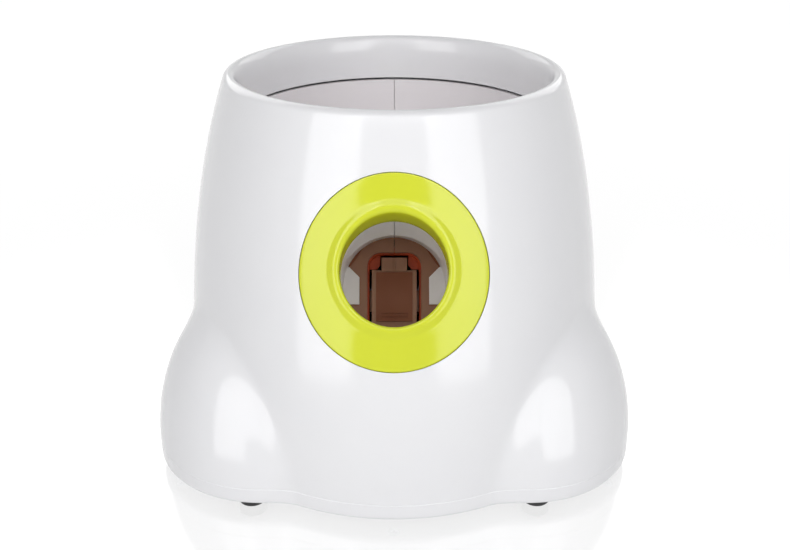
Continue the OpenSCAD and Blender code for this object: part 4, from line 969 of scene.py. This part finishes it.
# ---------------------------------------------------------------- launching gear
@dataclass
class Breech:
    """The orange bumper behind the slot and the dark brown crescents round the barrel's end, which are painted
    shade.
    """

    slot_half: float = 16.0
    slot_top: float = 21.0
    slot_corner: float = 8.0
    show: float = 1.3
    half: float = 19.5
    low: float = -20.0
    top: float = 24.0
    front: float = 98.3
    back: float = 101.3
    web_x: float = 8.3
    web_low: float = 11.4
    barrel_r: float = 29.9
    # the dark brown crescents below paint the shade of thin arcs at the barrel's end
    seal_w: float = 1.3
    seal_angles: Flat = (20.0, 50.0)
    seal_steps: int = 24
    seal_section: tuple[Flat, ...] = ((0, 94.9), (1, 94.9), (0.7, 94.3), (0, 94.0))

    def arch(self, grow: float) -> list[Flat]:
        """Gives the bumper's outline, whose opening is smaller than the slot all round.

        Args:
            grow: how far the opening's edge is drawn back.

        Returns:
            The outline, across and above the barrel's axis.
        """
        half, top = self.slot_half - self.show + grow, self.slot_top - self.show + grow
        r = self.slot_corner - self.show + grow
        right = [(half - r + r * cos(a), top - r + r * sin(a)) for a in spread(0, pi / 2, 8)]
        outer = [(-self.half, self.low), (-self.half, self.top), (self.half, self.top), (self.half, self.low)]
        return [*outer, (half, self.low), *right, *((-x, b) for x, b in reversed(right)), (-half, self.low)]

    def bumper(self) -> Piece:
        """Builds the bumper with a rounded striking edge and a web in each upper corner."""
        layers = ((self.front, 0.5), (self.front + 0.15, 0.2), (self.front + 0.5, 0.0), (self.back - 0.5, 0.0),
                  (self.back, 0.4))
        loops = [[FORM.in_barrel(x, depth, b) for x, b in self.arch(grow)] for depth, grow in layers]
        parts = [loft("bumper", loops)]
        top = self.slot_top - self.show
        web = [(self.web_x, top), (self.web_x, self.web_low + 2.5), (self.web_x + 2.0, self.web_low),
               (self.slot_half, self.web_low), (self.slot_half, top)]
        for side in (-1, 1):
            parts.append(loft("web", [[FORM.in_barrel(side * x, depth, b) for x, b in web]
                                      for depth in (self.back - 1.2, self.back - 0.01)]))
        return smooth(joined("bumper_soft", parts), 50)

    def seal(self, side: int) -> Piece:
        """Builds one crescent of painted shade, a dark brown trim that tapers to nothing at both ends.

        Args:
            side: 1 for the right-hand one, -1 for the left-hand one.

        Returns:
            The crescent.
        """
        loops = []
        for i, angle in enumerate(spread(*self.seal_angles, self.seal_steps)):
            w = 0.1 + self.seal_w * sin(pi * i / self.seal_steps)
            ring = [(*polar(self.barrel_r - w * share, radians(angle)), depth)
                    for share, depth in self.seal_section]
            loops.append([FORM.in_barrel(side * x, depth, up) for x, up, depth in ring])
        return loft("seal", loops)

    def make(self, paint: Paint) -> None:
        """Makes the bumper and the crescents of painted shade."""
        paint.finish_piece(self.bumper(), "orange_rubber", "casing", "bumper")
        # these dark brown crescents are painted shade, put where the barrel's end shows thin shaded arcs
        seal = smooth(joined("breech_painted_shade", [self.seal(1), self.seal(-1)]), 50)
        paint.finish_piece(seal, "brown_rubber", "casing")


@dataclass
class HammerDrive:
    """The torsion springs that throw the hammer, wound as real coils."""

    breech: float = 98.5
    pivot_drop: float = 46.0
    coil_r: float = 7.4
    wire: float = 1.4
    rise: float = 1.85
    outer_x: float = 18.8
    tie: Flat = (-20.0, 45.0)
    tie_r: float = 4.0
    turns: int = 2
    per_turn: int = 36

    def path(self, side: int) -> list[Point]:
        """Gives the centre line of one spring: the leg on the rear tie, the coil and the leg on the hammer.

        Args:
            side: 1 for the spring on the right, -1 for its mirror image.

        Returns:
            The points along the wire.
        """
        _, py, pz = FORM.in_barrel(0, self.breech, -self.pivot_drop)
        dy, dz = self.tie[0] - py, self.tie[1] - pz
        gap = self.coil_r - (self.tie_r + self.wire / 2 + 0.1)
        leg = atan2(dz, dy) - asin(gap / hypot(dy, dz))
        start, arm = leg + pi / 2, radians(90 - FORM.outlet_tilt)
        sweep = 2 * pi * self.turns + (arm - pi / 2) - start
        count = int(self.per_turn * sweep / (2 * pi))
        fixed, free = hypot(dy, dz) + 4, self.pivot_drop + 2
        near = (py + self.coil_r * cos(start), pz + self.coil_r * sin(start))
        out = [(self.outer_x, near[0] + d * cos(leg), near[1] + d * sin(leg))
               for d in (fixed, fixed * 0.66, fixed * 0.33)]
        for i in range(count + 1):
            a = start + sweep * i / count
            out.append((self.outer_x - self.rise * sweep / (2 * pi) * i / count,
                        py + self.coil_r * cos(a), pz + self.coil_r * sin(a)))
        x, y, z = out[-1]
        out += [(x, y + d * cos(arm), z + d * sin(arm)) for d in (free * 0.33, free * 0.66, free)]
        return [(side * px, qy, qz) for px, qy, qz in out]

    def make(self, paint: Paint) -> None:
        """Makes both springs, each turning from its fixed leg to its free leg."""
        for side, name in ((1, "spring_right"), (-1, "spring_left")):
            path = self.path(side)
            spring = smooth(tube(name, path, self.wire / 2), 60)
            paint.coat(spring, "bright_steel")
            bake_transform(spring)
            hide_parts("hammer_springs")
            LOG.info("wound %s with %d points", name, len(path))


# ---------------------------------------------------------------- studio
@dataclass(frozen=True)
class SoftBox:
    """A soft lamp that faces the launcher, or a mirrored pair of them."""

    name: str
    azimuth: float
    elevation: float
    distance: float
    size: Flat
    level: float

    def places(self) -> list[tuple[str, Point]]:
        """Gives each lamp's name and place, in metres: azimuth 0 is in front of the mouth."""
        out, tip = [], radians(self.elevation)
        for side, word in ((1, "right"), (-1, "left")) if self.azimuth else ((1, "middle"),):
            turn = radians(self.azimuth) * side
            out.append((f"{self.name}_{word}", (self.distance * sin(turn) * cos(tip),
                                                -self.distance * cos(turn) * cos(tip),
                                                AIM_Z + self.distance * sin(tip))))
        return out


@dataclass
class Studio:
    """The camera, the lights and the white sweep that the launcher stands on."""

    lens: float = 44.97
    pitch: float = 24.57
    eye: Point = (0.44, -562.5, 354.96)
    boxes: tuple[SoftBox, ...] = (
        SoftBox("key", 0.0, 42.0, 1.4, (1.2, 0.8), 1.3),
        SoftBox("strip", 35.0, 12.0, 1.15, (0.62, 1.5), 2.5),
        SoftBox("back", 140.0, 35.0, 1.4, (1.0, 1.0), 1.6))
    fill_level: float = 0.03
    sheet_near: float = 0.945
    sheet_far: float = 1.0
    sheet_gloss: float = 0.2
    sheet_roughness: float = 0.1
    sheet_shade: float = 0.07
    sheet_white: float = 0.8
    sheet_span: Flat = (0.3, 1.2)
    sheet_half: float = 4.0

    def camera(self) -> None:
        """Puts the camera where the photograph was taken from."""
        data = bpy.data.cameras.new("camera")
        data.lens, data.sensor_width = self.lens, 36.0
        data.clip_start, data.clip_end = 0.01, 50
        eye = bpy.data.objects.new("camera", data)
        eye.location = (self.eye[0] * MM, (self.eye[1] + FORM.axis_y) * MM, self.eye[2] * MM)
        eye.rotation_euler = (radians(90 - self.pitch), 0, 0)
        bpy.context.scene.collection.objects.link(eye)
        bpy.context.scene.camera = eye

    def lamps(self) -> None:
        """Hangs every soft box."""
        target = Vector((0, 0, AIM_Z))
        for box in self.boxes:
            for name, at in box.places():
                lamp = bpy.data.lights.new(name, "AREA")
                lamp.shape = "RECTANGLE"
                lamp.size, lamp.size_y = box.size
                # a white lamp of this level looks as bright as a white wall lit to that level
                lamp.energy = box.level * pi * box.size[0] * box.size[1]
                holder = bpy.data.objects.new(name, lamp)
                holder.location = at
                holder.rotation_euler = (target - Vector(at)).to_track_quat("-Z", "Y").to_euler()
                bpy.context.scene.collection.objects.link(holder)

    def world(self) -> None:
        """Makes the surroundings white where they are seen, and a plain fill where they light."""
        world = bpy.data.worlds.new("studio")
        world.use_nodes = True
        tree = world.node_tree
        tree.nodes.clear()
        seen = self.seen_rays(tree)
        level = add_node(tree, "MapRange", {"To Min": self.fill_level, "To Max": 1.0}, {"Value": seen})
        glow = add_node(tree, "Background", {"Color": (1, 1, 1, 1)},
                        {"Strength": level.outputs["Result"]})
        add_node(tree, "OutputWorld", links={"Surface": glow.outputs["Background"]})
        bpy.context.scene.world = world

    def seen_rays(self, tree: Tree) -> Socket:
        """Gives 1 for rays that show a thing: to the camera, mirrored or through glass."""
        path = add_node(tree, "LightPath")
        pair = add_node(tree, "Math", {"operation": "MAXIMUM"},
                        {0: path.outputs["Is Camera Ray"], 1: path.outputs["Is Glossy Ray"]})
        return add_node(tree, "Math", {"operation": "MAXIMUM"},
                        {0: pair.outputs[0], 1: path.outputs["Is Transmission Ray"]}).outputs[0]

    def floor(self) -> None:
        """Lays the white acrylic sheet, which keeps a soft shadow and a faint mirror image."""
        mesh = bpy.data.meshes.new("floor")
        half, grey = self.sheet_half, lambda level: {"Color": (level, level, level, 1)}
        mesh.from_pydata([(-half, -half, 0), (half, -half, 0), (half, half, 0), (-half, half, 0)], [],
                         [(0, 1, 2, 3)])
        floor = bpy.data.objects.new("floor", mesh)
        bpy.context.scene.collection.objects.link(floor)
        material = bpy.data.materials.new("white acrylic sheet")
        material.use_nodes = True
        tree = material.node_tree
        tree.nodes.clear()
        lit = add_node(tree, "BsdfDiffuse", grey(self.sheet_white))
        soft = add_node(tree, "BsdfDiffuse", grey(self.sheet_shade))
        # the sheet is lit less further out, so its own white takes over there
        place = add_node(tree, "TexCoord").outputs["Object"]
        far = add_node(tree, "VectorMath", {"operation": "LENGTH"}, {0: place})
        white = add_node(tree, "MapRange", {"From Min": self.sheet_span[0], "From Max": self.sheet_span[1],
                                            "To Min": self.sheet_near, "To Max": self.sheet_far},
                         {"Value": far.outputs["Value"]})
        glow = add_node(tree, "Emission", grey(1), {"Strength": white.outputs["Result"]})
        shown = add_node(tree, "AddShader", links={0: soft.outputs[0], 1: glow.outputs[0]})
        mirror = add_node(tree, "BsdfGlossy", {**grey(1), "Roughness": self.sheet_roughness})
        sheet = add_node(tree, "MixShader", {0: self.sheet_gloss}, {1: shown.outputs[0], 2: mirror.outputs[0]})
        seen = self.seen_rays(tree)
        both = add_node(tree, "MixShader", links={0: seen, 1: lit.outputs[0], 2: sheet.outputs[0]})
        add_node(tree, "OutputMaterial", links={"Surface": both.outputs[0]})
        mesh.materials.append(material)
        floor.visible_glossy = False

    def make(self) -> None:
        """Sets up the whole studio."""
        self.camera()
        self.lamps()
        self.world()
        self.floor()
        bpy.context.scene.view_settings.view_transform = "Standard"


def main() -> None:
    """Builds the studio and every sub-assembly in order."""
    logging.basicConfig(level=logging.INFO, format="%(name)s: %(message)s")
    Studio().make()
    paint = Paint()
    paint.dress_nodes()
    for assembly in (Casing(), Outlet(), ControlPanel(), Breech(), HammerDrive()):
        assembly.make(paint)
        LOG.info("finished %s", type(assembly).__name__)


if __name__ == "__main__":
    main()
